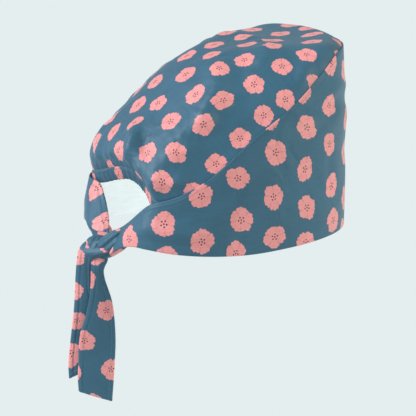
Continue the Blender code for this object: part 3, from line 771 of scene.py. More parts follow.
class Wiring:
    """Adds nodes to a tree and joins them, so that a formula reads as one."""

    def __init__(self, tree: bpy.types.NodeTree) -> None:
        """Keep the tree that the nodes go into."""
        self.tree = tree

    def node(self, kind: str, **settings: object) -> bpy.types.Node:
        """Add a node and set its own settings."""
        made = self.tree.nodes.new(kind)
        for name, value in settings.items():
            setattr(made, name, value)
        return made

    def signals(self, node: bpy.types.Node) -> dict[str, Signal]:
        """The outputs of a node by their names."""
        return {socket.name: Signal(self, socket) for socket in node.outputs}

    def feed(self, socket: bpy.types.NodeSocket, value: object) -> None:
        """Link a socket to a signal, or set it."""
        if isinstance(value, Signal):
            self.tree.links.new(value.socket, socket)
        else:
            socket.default_value = value

    def math(self, operation: str, *values: object, clamp: bool = False) -> Signal:
        """One step of arithmetic."""
        made = self.node("ShaderNodeMath", operation=operation, use_clamp=clamp)
        for socket, value in zip(made.inputs, values):
            self.feed(socket, value)
        return Signal(self, made.outputs[0])

    def smooth(self, value: object, low: float, high: float, start: float = 0.0, end: float = 1.0) -> Signal:
        """Go smoothly from one value to another as the input goes from low to high."""
        made = self.node("ShaderNodeMapRange", interpolation_type="SMOOTHSTEP")
        for name, item in (("Value", value), ("From Min", low), ("From Max", high), ("To Min", start),
                           ("To Max", end)):
            self.feed(made.inputs[name], item)
        return Signal(self, made.outputs[0])

    def inside(self, value: object, low: float, high: float) -> Signal:
        """1 below the low value, going smoothly to 0 at the high one."""
        return self.smooth(value, low, high, 1.0, 0.0)

    def mix(self, factor: object, first: object, second: object, how: str = "MIX") -> Signal:
        """Mix two colours."""
        made = self.node("ShaderNodeMix", data_type="RGBA", blend_type=how)
        for index, value in ((0, factor), (6, first), (7, second)):
            self.feed(made.inputs[index], value)
        return Signal(self, made.outputs[2])

    def split(self, vector: object) -> list[Signal]:
        """The parts of a vector."""
        made = self.node("ShaderNodeSeparateXYZ")
        self.feed(made.inputs[0], vector)
        return [Signal(self, socket) for socket in made.outputs]

    def join(self, x: object, y: object, z: object = 0.0) -> Signal:
        """A vector from its parts."""
        made = self.node("ShaderNodeCombineXYZ")
        for socket, value in zip(made.inputs, (x, y, z)):
            self.feed(socket, value)
        return Signal(self, made.outputs[0])

    def length(self, x: Signal, y: Signal) -> Signal:
        """How far a flat place is from the middle."""
        return self.math("SQRT", x * x + y * y)

    def ripple(self, angle: Signal, count: float) -> Signal:
        """A row of humps between 0 and 1 round a circle, two for each count."""
        return self.math("ABSOLUTE", self.math("COSINE", angle * count))

    def noise(self, at: Signal, **settings: float) -> Signal:
        """Smooth flat noise, with inputs of its node set by their names."""
        made = self.node("ShaderNodeTexNoise", noise_dimensions="2D")
        self.feed(made.inputs["Vector"], at)
        for name, value in settings.items():
            made.inputs[name.capitalize()].default_value = value
        return self.signals(made)["Fac"]

    def map(self, name: str) -> Signal:
        """One of the mesh's two maps."""
        return Signal(self, self.node("ShaderNodeUVMap", uv_map=name).outputs[0])

    def place(self, tree: bpy.types.NodeTree, **values: object) -> dict[str, Signal]:
        """Put a group into the tree, feed its inputs and give its outputs."""
        made = self.node("ShaderNodeGroup", node_tree=tree)
        for name, value in values.items():
            self.feed(made.inputs[name], value)
        return self.signals(made)

    def bump(self, height_mm: Signal) -> Signal:
        """The normals of a surface raised by a height."""
        made = self.node("ShaderNodeBump")
        made.inputs["Distance"].default_value = 1.0 * MM
        self.feed(made.inputs["Height"], height_mm)
        return Signal(self, made.outputs[0])


@dataclass(frozen=True)
class BlossomForm:
    """The drawing of one blossom, whose lengths are shares of its radius."""

    petals: int = 5
    body: float = 0.84
    notch: float = 0.12
    notch_curve: float = 0.6
    frills: float = 8.5
    frill: float = 0.07
    ragged: float = 0.36
    ragged_scale: float = 170.0
    soft_edge: float = 0.03
    squash: float = 0.26
    stray: tuple[float, float] = (0.26, 0.30)
    vein: float = 0.55
    speckle: float = 0.45
    speckle_scale: float = 900.0
    stamen_ring: float = 0.24
    stamen: tuple[float, float] = (0.055, 0.085)
    heart: tuple[float, float] = (0.05, 0.09)


@dataclass(frozen=True)
class ClothForm:
    """The sizes of the weave, the crumple and the stitches."""

    thread: float = 0.5 * MM
    slub: tuple[float, float] = (60.0, 1400.0)
    # how much lighter the thread crowns are painted, a painted highlight on the weave
    thread_crown_highlight: float = 0.05
    crumple: float = 30.0 * MM
    stitch: float = 2.8 * MM
    stitch_width: float = 0.3 * MM
    stitch_rise: float = 0.8


class ClothGroups:
    """The node groups that every cloth of the cap shares, each built once."""

    def __init__(self) -> None:
        """Build the groups."""
        self.print = self.blossom_print(BlossomForm())
        form = ClothForm()
        self.weave = self.plain_weave(form)
        self.crumple = self.soft_crumple(form)
        self.stitches = self.stitch_row(form)

    @staticmethod
    def start(name: str, inputs: dict[str, Kind], outputs: dict[str, Kind]
              ) -> tuple[Wiring, dict[str, Signal], bpy.types.NodeInputs]:
        """Make an empty group with its sockets.

        Args:
            name: the group's name.
            inputs: its inputs and what they carry.
            outputs: its outputs and what they carry.

        Returns:
            The wiring for it, the signals that come in, and the sockets to feed on the way out.
        """
        tree = bpy.data.node_groups.new(name, "ShaderNodeTree")
        for way, sockets in (("INPUT", inputs), ("OUTPUT", outputs)):
            for title, kind in sockets.items():
                tree.interface.new_socket(name=title, in_out=way, socket_type=kind.value)
        w = Wiring(tree)
        given = w.signals(w.node("NodeGroupInput"))
        return w, given, w.node("NodeGroupOutput").inputs

    def blossom_print(self, form: BlossomForm) -> bpy.types.NodeTree:
        """A half-drop repeat of plain blossoms: five notched petals round a ring of dark stamens.

        Args:
            form: how one blossom is drawn.

        Returns:
            The group, which gives the colour of the printed cloth.
        """
        w, given, out = self.start(
            "blossom_print",
            {"Map": Kind.VECTOR, "Pitch": Kind.NUMBER, "Blossom": Kind.NUMBER, "Ground": Kind.COLOUR,
             "Petal": Kind.COLOUR, "Shade": Kind.COLOUR, "Stamen": Kind.COLOUR},
            {"Color": Kind.COLOUR})
        x, y = w.split(given["Map"])[:2]
        across, up = x / given["Pitch"], y / given["Pitch"]
        lane = w.math("FLOOR", across)
        dropped = up + w.math("FLOORED_MODULO", lane, 2.0) * 0.5
        rank = w.math("FLOOR", dropped)
        noise = w.node("ShaderNodeTexWhiteNoise", noise_dimensions="2D")
        w.feed(noise.inputs["Vector"], w.join(lane, rank))
        chance = w.split(w.signals(noise)["Color"])
        px = across - lane - 0.5 - (chance[0] - 0.5) * form.stray[0]
        py = dropped - rank - 0.5 - (chance[1] - 0.5) * form.stray[1]
        size = given["Pitch"] / given["Blossom"]
        spin = chance[2] * math.tau
        cos, sin = w.math("COSINE", spin), w.math("SINE", spin)
        rx = (cos * px - sin * py) * size
        ry = (sin * px + cos * py) * size * (1.0 + chance[0] * form.squash)
        reach = w.length(rx, ry)
        facing = w.math("ARCTAN2", ry, rx)
        petal = w.ripple(facing, form.petals / 2.0)
        outline = (form.body + w.math("POWER", petal, form.notch_curve) * form.notch
                   + w.ripple(facing, form.frills) * form.frill
                   + (w.noise(given["Map"], scale=form.ragged_scale, detail=1.0) - 0.5) * form.ragged)
        vein = w.inside(petal, 0.05, 0.30) * w.smooth(reach, 0.30, 0.62)
        speckle = w.smooth(w.noise(given["Map"], scale=form.speckle_scale, detail=2.0), 0.52, 0.70)
        shade = w.math("ADD", vein * form.vein, speckle * form.speckle, clamp=True)
        pink = w.mix(shade, given["Petal"], given["Shade"])
        turn = w.math("FLOORED_MODULO", facing, math.tau / form.petals) - math.pi / form.petals
        ring = w.length(reach * w.math("COSINE", turn) - form.stamen_ring, reach * w.math("SINE", turn))
        stamen = w.math("MAXIMUM", w.inside(ring, *form.stamen), w.inside(reach, *form.heart))
        mask = w.inside(reach - outline, -form.soft_edge, form.soft_edge)
        w.feed(out["Color"], w.mix(mask, given["Ground"], w.mix(stamen, pink, given["Stamen"])))
        return w.tree

    def plain_weave(self, form: ClothForm) -> bpy.types.NodeTree:
        """Threads over and under each other, as a height and a slight change of tone: a painted highlight on
        the raised thread crowns, plus the slubs of the yarn.
        """
        w, given, out = self.start("plain_weave", {"Map": Kind.VECTOR},
                                   {"Height": Kind.NUMBER, "Tone And Shade": Kind.NUMBER})
        x, y = w.split(given["Map"])[:2]
        across, up = x / form.thread, y / form.thread
        over = w.math("FLOORED_MODULO", w.math("FLOOR", across) + w.math("FLOOR", up), 2.0)
        warp = w.math("SINE", w.math("FRACT", across) * math.pi)
        weft = w.math("SINE", w.math("FRACT", up) * math.pi)
        height = over * warp + (1.0 - over) * weft
        slub = w.noise(w.join(x * form.slub[0], y * form.slub[1]), scale=1.0)
        w.feed(out["Height"], height)
        # Tone: the thread crowns painted lighter by their height, a painted highlight, plus the yarn's slubs
        w.feed(out["Tone And Shade"], height * form.thread_crown_highlight + w.smooth(slub, 0.3, 0.7, 0.93, 1.02))
        return w.tree

    def soft_crumple(self, form: ClothForm) -> bpy.types.NodeTree:
        """The faint hand-sized unevenness of the cloth, as a height, and a change of tone that follows it:
        painted shade in its hollows and painted light on its rises.
        """
        w, given, out = self.start("soft_crumple", {"Map": Kind.VECTOR},
                                   {"Height": Kind.NUMBER, "Tone And Shade": Kind.NUMBER})
        broad = w.noise(given["Map"], scale=1.0 / form.crumple, detail=3.0, roughness=0.45, distortion=0.6)
        w.feed(out["Height"], broad)
        # painted shade and light: the crumple's hollows a little darker and its rises a little lighter
        w.feed(out["Tone And Shade"], w.smooth(broad, 0.25, 0.75, 0.96, 1.04))
        return w.tree

    def stitch_row(self, form: ClothForm) -> bpy.types.NodeTree:
        """A row of sewn stitches at a distance from the hem, sunk a little into the cloth."""
        w, given, out = self.start("stitch_row", {"Map": Kind.VECTOR, "Inset": Kind.NUMBER},
                                   {"Mask": Kind.NUMBER, "Height": Kind.NUMBER})
        x, y = w.split(given["Map"])[:2]
        away = w.math("ABSOLUTE", y - given["Inset"]) / form.stitch_width
        place = w.math("FRACT", x / form.stitch)
        sewn = w.inside(away, 0.6, 1.4) * (w.smooth(place, 0.10, 0.18) * w.inside(place, 0.78, 0.86))
        w.feed(out["Mask"], sewn)
        w.feed(out["Height"], w.smooth(away, 0.5, 4.0, -1.0, 0.0) + sewn * form.stitch_rise)
        return w.tree


class ClothMaterial:
    """A new material that already carries the weave and the crumple."""

    def __init__(self, name: str, groups: ClothGroups) -> None:
        """Make the material and put the shared groups into it."""
        self.material = bpy.data.materials.new(name)
        self.material.use_nodes = True
        self.wiring = Wiring(self.material.node_tree)
        self.shader = self.material.node_tree.nodes["Principled BSDF"]
        self.map = self.wiring.map("cloth_map")
        self.weave = self.wiring.place(groups.weave, Map=self.map)
        self.crumple = self.wiring.place(groups.crumple, Map=self.map)

    def toned(self, colour: object) -> Signal:
        """A colour under the change of tone from the weave and the crumple: the slubs of the yarn, and painted
        light and shade on the relief of both.
        """
        tone_and_shade = self.weave["Tone And Shade"] * self.crumple["Tone And Shade"]
        return self.wiring.mix(1.0, colour, self.wiring.join(tone_and_shade, tone_and_shade, tone_and_shade), "MULTIPLY")

    def relief(self, weave_mm: float, crumple_mm: float) -> Signal:
        """The height of the weave and the crumple together."""
        return self.weave["Height"] * weave_mm + self.crumple["Height"] * crumple_mm

    def set(self, values: dict[str, object]) -> bpy.types.Material:
        """Feed the shader's inputs by their names, and give the finished material."""
        for name, value in values.items():
            self.wiring.feed(self.shader.inputs[name], value)
        return self.material


@dataclass(frozen=True)
class PrintedCloth:
    """A smooth slate cloth printed with pink blossoms."""

    name: str
    pitch: float = 30.0 * MM
    blossom: float = 9.6 * MM
    stitch_inset: float = 3.0 * MM
    ground: Colour = (0.034, 0.120, 0.186, 1.0)
    petal: Colour = (0.85, 0.312, 0.305, 1.0)
    petal_shade: Colour = (0.640, 0.200, 0.195, 1.0)
    stamen: Colour = (0.060, 0.022, 0.030, 1.0)
    thread: Colour = (0.085, 0.185, 0.250, 1.0)
    thread_shows: float = 0.35
    roughness: tuple[float, float] = (0.39, 0.48)
    sheen: float = 0.04
    sheen_roughness: float = 0.45
    gloss: float = 0.42
    weave_mm: float = 0.045
    crumple_mm: float = 1.5
    stitch_mm: float = 0.25

    def make(self, groups: ClothGroups) -> bpy.types.Material:
        """Build the material from the shared groups."""
        cloth = ClothMaterial(self.name, groups)
        w = cloth.wiring
        printed = w.place(groups.print, Map=cloth.map, Pitch=self.pitch, Blossom=self.blossom,
                          Ground=self.ground, Petal=self.petal, Shade=self.petal_shade, Stamen=self.stamen)
        sewn = w.place(groups.stitches, Map=w.map("edge_map"), Inset=self.stitch_inset)
        colour = w.mix(sewn["Mask"] * self.thread_shows, cloth.toned(printed["Color"]), self.thread)
        height = cloth.relief(self.weave_mm, self.crumple_mm) + sewn["Height"] * self.stitch_mm
        return cloth.set({
            "Base Color": colour,
            "Roughness": w.smooth(cloth.crumple["Height"], 0.2, 0.8, *self.roughness),
            "Normal": w.bump(height),
            "Sheen Weight": self.sheen,
            "Sheen Roughness": self.sheen_roughness,
            "Specular IOR Level": self.gloss,
        })


@dataclass(frozen=True)
class ReverseCloth:
    """The pale unprinted reverse of the cloth, seen inside the cap, with a painted glow: a weak emission in its
    own tint that lightens it though it is no lamp.
    """

    name: str = "cloth_reverse"
    tint: Colour = (0.92, 0.96, 0.955, 1.0)
    # through: the strength of the painted glow, an emission that stands in for light reaching the inside
    through: float = 0.18
    roughness: float = 0.72
    sheen: float = 0.15
    weave_mm: float = 0.05
    crumple_mm: float = 0.6

    def make(self, groups: ClothGroups) -> bpy.types.Material:
        """Build the material from the shared groups."""
        cloth = ClothMaterial(self.name, groups)
        return cloth.set({
            "Base Color": cloth.toned(self.tint),
            "Normal": cloth.wiring.bump(cloth.relief(self.weave_mm, self.crumple_mm)),
            "Roughness": self.roughness,
            "Sheen Weight": self.sheen,
            # painted glow: the reverse emits its own pale tint, as if lit
            "Emission Color": self.tint,
            "Emission Strength": self.through,
        })


@dataclass(frozen=True)
class CutSize:
    """The size that a sheet was cut to, and how it is held."""

    width: float
    length: float
    hold: Hold
    area: Optional[float] = None
    rests_on: tuple[str, ...] = ()


@dataclass
class Wardrobe:
    """The finishes of the cap, each made once."""

    groups: ClothGroups = field(default_factory=ClothGroups)
    made: dict[str, bpy.types.Material] = field(default_factory=dict)

    def finish(self, cloth: PrintedCloth | ReverseCloth) -> bpy.types.Material:
        """The material of a finish, made at its first use."""
        if cloth.name not in self.made:
            self.made[cloth.name] = cloth.make(self.groups)
        return self.made[cloth.name]

    def dress(self, piece: bpy.types.Object, outside: PrintedCloth) -> None:
        """Give a piece its printed side and its reverse, and hang it on the root body."""
        piece.data.materials.append(self.finish(outside))
        piece.data.materials.append(self.finish(ReverseCloth()))
        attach(piece, "root")

    def complete(self, piece: bpy.types.Object, outside: PrintedCloth, node: str) -> None:
        """Dress a piece and hide the imported part that it stands in for."""
        self.dress(piece, outside)
        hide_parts(node)


@dataclass
class FrontBand:
    """The wide band from the forehead to the nape, with its two strips."""

    shape: BandShape
    columns: int = 430
    rows: int = 46
    end_near: float = 169.5
    end_far: float = 179.0
    wall: float = 1.1 * MM
    fold_rise: float = 0.85
    flat_top: float = 0.9
    hem_share: float = 0.95
    doubled_turns: tuple[float, float] = (136.0, 140.0)
    cloth: PrintedCloth = PrintedCloth("band_print")
    cut: CutSize = CutSize(0.53, 0.14, Hold.STRETCHED, 0.047, ("crown", "knot"))

    def build(self, wardrobe: Wardrobe) -> bpy.types.Object:
        """Make the band and dress it.

        Args:
            wardrobe: the finishes.

        Returns:
            The band's object.
        """
        turns, shares = np.broadcast_arrays(np.linspace(-self.end_far, self.end_near, self.columns)[None, :],
                                            np.linspace(0.0, 1.0, self.rows)[:, None])
        points = self.shape.outside(turns, shares)
        lift = self.fold_rise * fold_heights(points, BAND_FOLDS, self.shape.outside)
        points = points + grid_normals(points) * (lift * ease(shares, 1.0, self.flat_top))[..., None]
        middle = run_along(points[self.rows // 3])
        middle -= middle[np.argmin(np.abs(turns[0]))]
        heights = points[..., 2]
        printed = np.maximum(ease(from_front(turns), *self.doubled_turns), shares > self.hem_share)
        patch = ClothPatch(points, pairs(middle, heights), pairs(middle, heights[-1:] - heights), self.wall,
                           printed_inside=printed)
        piece = patch.build("band_cloth")
        wardrobe.complete(piece, self.cloth, "front_band")
        return piece


@dataclass
class Crown:
    """The full crown, gathered along the casing."""

    shape: CrownShape
    gathers: Gathers
    band_spokes: int = 210
    casing_spokes: int = 430
    rings: int = 70
    last_ring: float = 0.985
    ring_spacing: float = 1.25
    wall: float = 0.9 * MM
    pucker_rise: float = 3.0 * MM
    pucker_start: float = 0.16
    pucker_full: float = 0.1
    pleat_run: tuple[float, float] = (0.16, 0.05)
    fold_rise: float = 1.25
    fold_start: float = 0.12
    hem_depths: tuple[float, ...] = (5.0 * MM, 2.4 * MM)
    cloth: PrintedCloth = PrintedCloth("crown_print", pitch=25.5 * MM, blossom=8.2 * MM)
    cut: CutSize = CutSize(0.26, 0.24, Hold.GATHERED, 0.045, ("front_band", "elastic_casing"))

    def turns(self) -> np.ndarray:
        """The turns of the spokes, closer together over the casing."""
        end = self.gathers.end_turn
        front = np.linspace(-end, end, self.band_spokes, endpoint=False)
        back = np.linspace(end, FULL_TURN - end, self.casing_spokes, endpoint=False)
        return np.concatenate([front, back])

    def puckers(self, turns: np.ndarray, along: np.ndarray) -> np.ndarray:
        """How far the gathers push the cloth out, by row and spoke."""
        place = np.mod(turns, FULL_TURN)[None, :]
        up = along[:, None]
        total = np.zeros((len(along), len(turns)))
        for pucker in PUCKERS:
            across = bell(place - pucker.turn - pucker.drift * up / pucker.run, pucker.spread)
            fade = 1.0 - ease(up, self.pucker_full * pucker.run, pucker.run)
            total += pucker.rise * self.pucker_rise * across * fade * ease(up, 0.0, self.pucker_start)
        run = self.pleat_run[0] + self.pleat_run[1] * np.sin(2.3 * self.gathers.phase(place))
        return total + self.gathers.lift(place) * (1.0 - ease(up, 0.0, run))

    def build(self, wardrobe: Wardrobe) -> bpy.types.Object:
        """Make the crown and dress it.

        Args:
            wardrobe: the finishes.

        Returns:
            The crown's object.
        """
        turns = self.turns()
        along = np.linspace(0.0, self.last_ring, self.rings) ** self.ring_spacing
        dome = self.shape.outside(turns, along)

        def place_of(turn: np.ndarray, share: np.ndarray) -> np.ndarray:
            """The point of the plain crown at a turn and a share of the way up."""
            spoke = [np.argmin(np.abs(signed_turn(turns - item))) for item in turn]
            row = [np.argmin(np.abs(along - item)) for item in share]
            return dome[row, spoke]

        lift = fold_heights(dome, CROWN_FOLDS, place_of) * ease(along, 0.0, self.fold_start)[:, None]
        lift = self.fold_rise * lift + self.puckers(turns, along)
        shaped = dome + grid_normals(dome, True) * lift[..., None]
        points = np.concatenate([[self.shape.hem(turns, depth) for depth in self.hem_depths], shaped])
        flat = self.flat_layout(dome, turns)
        below = flat[:1] + (flat[:1] - flat[3:4]) * 0.5
        layout = np.concatenate([below, below, flat])
        patch = ClothPatch(points, layout, np.full(layout.shape, FAR_FROM_HEM), self.wall, crowned=True,
                           printed_inside=np.zeros(points.shape[:2]))
        piece = patch.build("crown_cloth")
        wardrobe.complete(piece, self.cloth, "crown")
        return piece

    @staticmethod
    def flat_layout(dome: np.ndarray, turns: np.ndarray, rings: int = 24, spokes: int = 120) -> np.ndarray:
        """The crown's cloth laid flat: relaxed on a coarse grid and read back on the fine one.

        Args:
            dome: the crown's plain rings.
            turns: the turns of their spokes.
            rings: the rings of the coarse grid.
            spokes: its spokes.

        Returns:
            The flat place of each point of the dome.
        """
        kept = np.unique(np.linspace(0, len(dome) - 1, rings).astype(int))
        even = np.linspace(-180.0, 180.0, spokes, endpoint=False)
        coarse = np.stack([[np.interp(even, turns, dome[ring, :, axis], period=FULL_TURN) for ring in kept]
                           for axis in range(3)], axis=-1)
        flat = lay_flat(coarse)
        layout = np.zeros(dome.shape[:2] + (2,))
        for axis in range(2):
            by_turn = [np.interp(turns, even, row, period=FULL_TURN) for row in flat[..., axis]]
            for spoke, line in enumerate(np.transpose(by_turn)):
                layout[:, spoke, axis] = np.interp(np.arange(len(dome)), kept, line)
        return layout


@dataclass
class ElasticCasing:
    """The gathered channel over the ponytail opening."""

    shape: CasingShape
    gathers: Gathers
    columns: int = 660
    rows: int = 14
    wall: float = 2.2 * MM
    puff: float = 0.5 * MM
    fullness: float = 1.35
    map_rise: float = 14.0 * MM
    cloth: PrintedCloth = PrintedCloth("casing_print", pitch=36.0 * MM, blossom=8.2 * MM, stitch_inset=1.4 * MM)
    cut: CutSize = CutSize(0.18, 0.011, Hold.GATHERED, None, ("crown", "front_band"))

    def build(self, wardrobe: Wardrobe) -> bpy.types.Object:
        """Make the casing and dress it.

        Args:
            wardrobe: the finishes.

        Returns:
            The casing's object.
        """
        end = self.shape.end_turn
        turns, shares = np.broadcast_arrays(np.linspace(end, FULL_TURN - end, self.columns)[None, :],
                                            np.linspace(0.0, 1.0, self.rows)[:, None])
        lift = self.gathers.lift(turns) + self.puff * np.sin(np.pi * shares) * self.gathers.free(turns)
        points = skin(self.shape.middle, turns, shares, -lift)
        run = run_along(self.shape.middle(turns[:1], shares[:1])[0]) * self.fullness
        layout = pairs(run, shares * self.shape.height + self.map_rise)
        edge = pairs(run, (1.0 - shares) * self.shape.height)
        piece = ClothPatch(points, layout, edge, self.wall).build("casing_cloth")
        wardrobe.complete(piece, self.cloth, "elastic_casing")
        return piece


@dataclass(frozen=True)
class KnotFrame:
    """The knot's own frame: its middle, and the ways to the right, up and out as the photo shows it."""

    centre: Triple = (0.0, 96.0 * MM, -3.0 * MM)
    right: Triple = (-0.4226, -0.9063, 0.0)
    up: Triple = (0.0, 0.0, 1.0)
    out: Triple = (-0.9063, 0.4226, 0.0)
    cloth: PrintedCloth = PrintedCloth("tie_print", pitch=25.0 * MM, blossom=8.0 * MM, stitch_inset=2.4 * MM)

    def way(self, local: np.ndarray) -> np.ndarray:
        """Ways in the cap's frame, from the knot's own right, up and out."""
        return np.asarray(local) @ np.array([self.right, self.up, self.out])

    def place(self, local: np.ndarray) -> np.ndarray:
        """Points in the cap's frame, from the knot's own right, up and out in millimetres."""
        return np.array(self.centre) + self.way(local) * MM


@dataclass
class TieEnd:
    """A free end of a tie: a doubled, hemmed strip that comes out of the knot's folds and hangs.

    It is bunched down to gather_end_mm, and its lower hem runs off level by slant_mm.
    """

    name: str
    node: str
    table: tuple[TieRow, ...]
    knot: KnotFrame
    slant_mm: float
    gather_mm: float
    gather_end_mm: float
    map_start: tuple[float, float]
    map_turn: float = 0.0
    wall: float = 1.5 * MM
    rows: int = 170
    columns: int = 44
    hem_rise: float = 0.20 * MM
    bow_mm: float = 0.9
    bunches: float = 1.6
    slant_run_mm: float = 16.0
    ridge_mm: tuple[float, float] = (1.5, 0.9)
    groove_mm: tuple[float, float] = (3.3, 0.6)
    groove_depth: float = 0.8
    loosens_mm: tuple[float, float] = (12.0, 4.0)

    def hem_ridge(self, rim_mm: np.ndarray) -> np.ndarray:
        """The raised hem and the groove of its stitches, by the way in from the edge."""
        (ridge, ridge_spread), (groove, groove_spread) = self.ridge_mm, self.groove_mm
        return bell(rim_mm - ridge, ridge_spread) - self.groove_depth * bell(rim_mm - groove, groove_spread)

    def flat_layout(self, right: np.ndarray, level: np.ndarray) -> np.ndarray:
        """The strip on its flat cloth, turned so that other blossoms show on it."""
        flat, turn = pairs(right, level) * MM, math.radians(self.map_turn)
        cos, sin = math.cos(turn), math.sin(turn)
        return flat @ np.array([[cos, sin], [-sin, cos]]) + self.map_start

    def build(self, wardrobe: Wardrobe) -> bpy.types.Object:
        """Make the tie end and dress it.

        Args:
            wardrobe: the finishes.

        Returns:
            The tie end's object.
        """
        heights = np.array([row.up for row in self.table])
        level = np.linspace(heights[0], heights[-1], self.rows)[:, None]
        across = np.linspace(0.0, 1.0, self.columns)[None, :]
        left, right_edge, left_out, right_out = (
            through(-heights, [getattr(row, name) for row in self.table], -level)
            for name in ("left", "right", "left_out", "right_out"))
        right = left + (right_edge - left) * across
        out = left_out + (right_out - left_out) * across + self.bow_mm * np.sin(math.pi * across)
        bunch = 1.0 - ease(-level, 4.0 - heights[0], -self.gather_end_mm)
        out = out + self.gather_mm * bunch * np.cos(math.tau * self.bunches * across + 0.4 + 0.02 * level)
        low = ease(-level, -heights[-1] - self.slant_run_mm, -heights[-1])
        points = self.knot.place(np.stack([right, level + self.slant_mm * (across - 0.5) * low, out], axis=-1))
        rim = np.minimum(right - left, right_edge - right)
        before, after = self.loosens_mm
        loose = ease(-level, -self.gather_end_mm - before, -self.gather_end_mm + after)
        points = points + grid_normals(points) * (self.hem_rise * self.hem_ridge(rim) * loose)[..., None]
        edge = pairs(level, np.minimum(rim, level - heights[-1])) * MM
        piece = ClothPatch(points, self.flat_layout(right, level), edge, self.wall).build(self.name)
        wardrobe.complete(piece, self.knot.cloth, self.node)
        return piece


@dataclass
class Knot:
    """The knot at the nape: a belt of cloth round the middle and a full core behind it."""

    frame: KnotFrame
    rows: int = 110
    columns: int = 40
    wall: float = 1.5 * MM
    pleats: float = 3.0
    pleat_mm: float = 0.7
    swell_mm: float = 2.6
    fullness: float = 1.25
    map_start: tuple[float, float] = (0.0, 12.0 * MM)
    core_mm: Triple = (9.5, 9.5, 9.0)
    core_place_mm: Triple = (1.0, 0.5, 0.0)
    core_size: tuple[int, int] = (48, 96)
    core_map: float = 0.3

    def belt(self) -> bpy.types.Object:
        """The pleated belt of cloth round the knot's middle.

        Returns:
            The belt's object.
        """
        line = smooth_line(np.array([row.middle + row.across + (row.half,) for row in BELT_ROWS]), self.rows)
        middle, side, half = line[:, :3], line[:, 3:6], line[:, 6:]
        forward = unit(np.gradient(middle, axis=0))
        side = unit(side - forward * np.sum(side * forward, axis=1, keepdims=True))
        proud = np.cross(side, forward)
        proud *= np.sign(np.sum(proud * (middle * np.array([1.0, 0.6, 1.0])), axis=1).mean())
        across = np.linspace(-1.0, 1.0, self.columns)
        along = np.linspace(0.0, 1.0, self.rows)[:, None]
        drift = 2.2 * along + 0.5 * np.sin(5.0 * along)
        ripple = self.pleat_mm * np.cos(math.pi * self.pleats * across + drift)
        rise = self.swell_mm * (1.0 - np.abs(across) ** 2.4) + ripple * (1.0 - 0.5 * across**2)
        points = self.frame.place(middle[:, None] + side[:, None] * (half * across)[..., None]
                                  + proud[:, None] * rise[..., None])
        run = run_along(middle)[:, None] * MM
        flat = pairs(across * self.fullness * half * MM, -run) + self.map_start
        edge = pairs(run, (1.0 - np.abs(across)) * half * MM)
        if np.sum(grid_normals(points) * self.frame.way(proud)[:, None]) < 0.0:
            points, flat, edge = points[:, ::-1], flat[:, ::-1], edge[:, ::-1]
        piece = ClothPatch(points, flat, edge, self.wall).build("knot_belt")
        return piece

    def core(self) -> bpy.types.Object:
        """The full core behind the belt, with meeting folds.

        Returns:
            The core's object.
        """
        rows, columns = self.core_size
        bearing = np.linspace(0.0, math.tau, columns, endpoint=False)[None, :]
        tall = np.linspace(-1.5, 1.5, rows)[:, None]
        size = 1.0 + 0.05 * np.cos(7.0 * bearing + 3.0 * tall) * np.cos(tall)
        wide, high, deep = self.core_mm
        local = np.stack([wide * np.cos(tall) * np.cos(bearing) * size, high * np.sin(tall) * size,
                          deep * np.cos(tall) * np.sin(bearing) * size], axis=-1)
        places = local[..., :2].reshape(-1, 2) * MM + self.core_map
        shell = Shell()
        shell.add(self.frame.place(local + self.core_place_mm).reshape(-1, 3), places,
                  np.full(places.shape, FAR_FROM_HEM))
        for quad in grid_quads(rows, columns, True):
            shell.face(quad[[0, 3, 2, 1]])
        shell.face(range(columns))
        shell.face(range(rows * columns - 1, (rows - 1) * columns - 1, -1))
        return shell.make("knot_core")

    def build(self, wardrobe: Wardrobe) -> list[bpy.types.Object]:
        """Make the knot's belt and core and dress them.

        Args:
            wardrobe: the finishes.

        Returns:
            The objects of the knot.
        """
        belt, core = self.belt(), self.core()
        for piece in (belt, core):
            wardrobe.dress(piece, self.frame.cloth)
        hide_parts("knot")
        return [belt, core]


def turned_to(way: Vector) -> Euler:
    """The turns of an object whose back looks along a way."""
    return way.to_track_quat("Z", "Y").to_euler()


@dataclass(frozen=True)
class Lamp:
    """A far soft light: where it comes from, how strong and how soft it is."""

    name: str
    azimuth: float
    elevation: float
    strength: float
    softness: float
    tint: Triple
    distance: float = 2.0

    def hang(self) -> None:
        """Add the lamp to the scene."""
        light = bpy.data.lights.new(self.name, "SUN")
        light.energy = self.strength
        light.angle = math.radians(self.softness)
        light.color = self.tint
        lamp = bpy.data.objects.new(self.name, light)
        across, up = math.radians(self.azimuth), math.radians(self.elevation)
        way = Vector((math.cos(up) * math.cos(across), math.cos(up) * math.sin(across), math.sin(up)))
        lamp.rotation_euler = turned_to(way)
        lamp.location = way * self.distance
        bpy.context.scene.collection.objects.link(lamp)


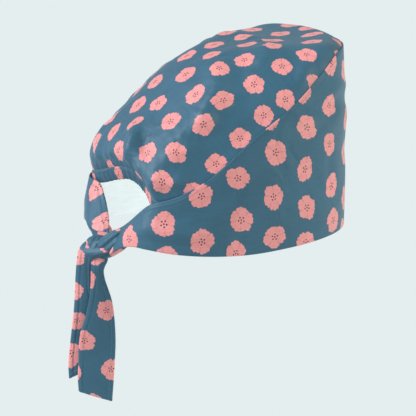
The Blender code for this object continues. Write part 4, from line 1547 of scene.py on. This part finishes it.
@dataclass
class Studio:
    """A pale plain floor, soft light from all round, and the camera."""

    floor_height: float = -0.45
    floor_half: float = 30.0
    floor_tint: Colour = (0.695, 0.722, 0.727, 1.0)
    world_tint: Colour = (0.98, 0.98, 1.0, 1.0)
    world_strength: float = 0.44
    camera_way: Triple = (-0.9063, 0.4226, 0.0)
    elevation: float = 13.0
    distance: float = 3.449
    aim: Triple = (0.0, 0.0049, 0.0185)
    lens_mm: float = 400.0
    sensor_mm: float = 36.0
    sees_to: float = 100.0
    lamps: tuple[Lamp, ...] = (
        Lamp("key_light", 78.0, 33.0, 3.2, 16.0, (0.88, 0.95, 1.0)),
        Lamp("front_fill", -128.0, 26.0, 1.6, 26.0, (0.88, 1.0, 0.86)),
    )

    def lay_floor(self) -> None:
        """Lay the floor, as part of the stage."""
        mesh = bpy.data.meshes.new("studio_floor")
        corners = [(x * self.floor_half, y * self.floor_half, self.floor_height)
                   for x, y in ((-1, -1), (1, -1), (1, 1), (-1, 1))]
        mesh.from_pydata(corners, [], [[0, 1, 2, 3]])
        material = bpy.data.materials.new("pale_floor")
        material.use_nodes = True
        shader = material.node_tree.nodes["Principled BSDF"]
        for name, value in (("Base Color", self.floor_tint), ("Roughness", 1.0), ("Specular IOR Level", 0.0)):
            shader.inputs[name].default_value = value
        mesh.materials.append(material)
        floor = bpy.data.objects.new("studio_floor", mesh)
        bpy.context.scene.collection.objects.link(floor)

    def light(self) -> None:
        """Light the scene from all round and from its lamps."""
        world = bpy.data.worlds.new("studio_light")
        world.use_nodes = True
        background = world.node_tree.nodes["Background"]
        background.inputs["Color"].default_value = self.world_tint
        background.inputs["Strength"].default_value = self.world_strength
        bpy.context.scene.world = world
        for lamp in self.lamps:
            lamp.hang()

    def place_camera(self) -> None:
        """Place the camera where the photo was taken from, with plain colours."""
        scene = bpy.context.scene
        scene.view_settings.view_transform = "Standard"
        scene.view_settings.look = "None"
        up = math.radians(self.elevation)
        way = Vector(self.camera_way) * math.cos(up) + Vector((0.0, 0.0, 1.0)) * math.sin(up)
        data = bpy.data.cameras.new("camera")
        data.lens = self.lens_mm
        data.sensor_width = self.sensor_mm
        data.clip_end = self.sees_to
        camera = bpy.data.objects.new("camera", data)
        camera.location = Vector(self.aim) + way * self.distance
        camera.rotation_euler = turned_to(way)
        scene.collection.objects.link(camera)
        scene.camera = camera

    def build(self) -> None:
        """Lay the floor, set the light and place the camera."""
        self.lay_floor()
        self.light()
        self.place_camera()


def main() -> None:
    """Load the frame, build and dress each piece, and set the studio."""
    logging.basicConfig(level=logging.INFO, format="%(message)s")
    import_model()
    wardrobe = Wardrobe()
    band = BandShape()
    casing = CasingShape(band)
    gathers = Gathers()
    knot = KnotFrame()
    pieces = [
        FrontBand(band),
        Crown(CrownShape(band, casing), gathers),
        ElasticCasing(casing, gathers),
        Knot(knot),
        TieEnd("tie_cloth_near", "tie_end_near", NEAR_TIE_ROWS, knot, slant_mm=-7.2, gather_mm=0.25,
               gather_end_mm=-30.0, map_start=(0.21, 0.014), map_turn=28.0),
        TieEnd("tie_cloth_far", "tie_end_far", FAR_TIE_ROWS, knot, slant_mm=11.6, gather_mm=0.3,
               gather_end_mm=-6.0, map_start=(0.33, 0.02)),
    ]
    for piece in pieces:
        made = piece.build(wardrobe)
        for item in made if isinstance(made, list) else [made]:
            LOG.info("%s: %d faces", item.name, len(item.data.polygons))
    Studio().build()
    bpy.context.view_layer.update()


if __name__ == "__main__":
    main()
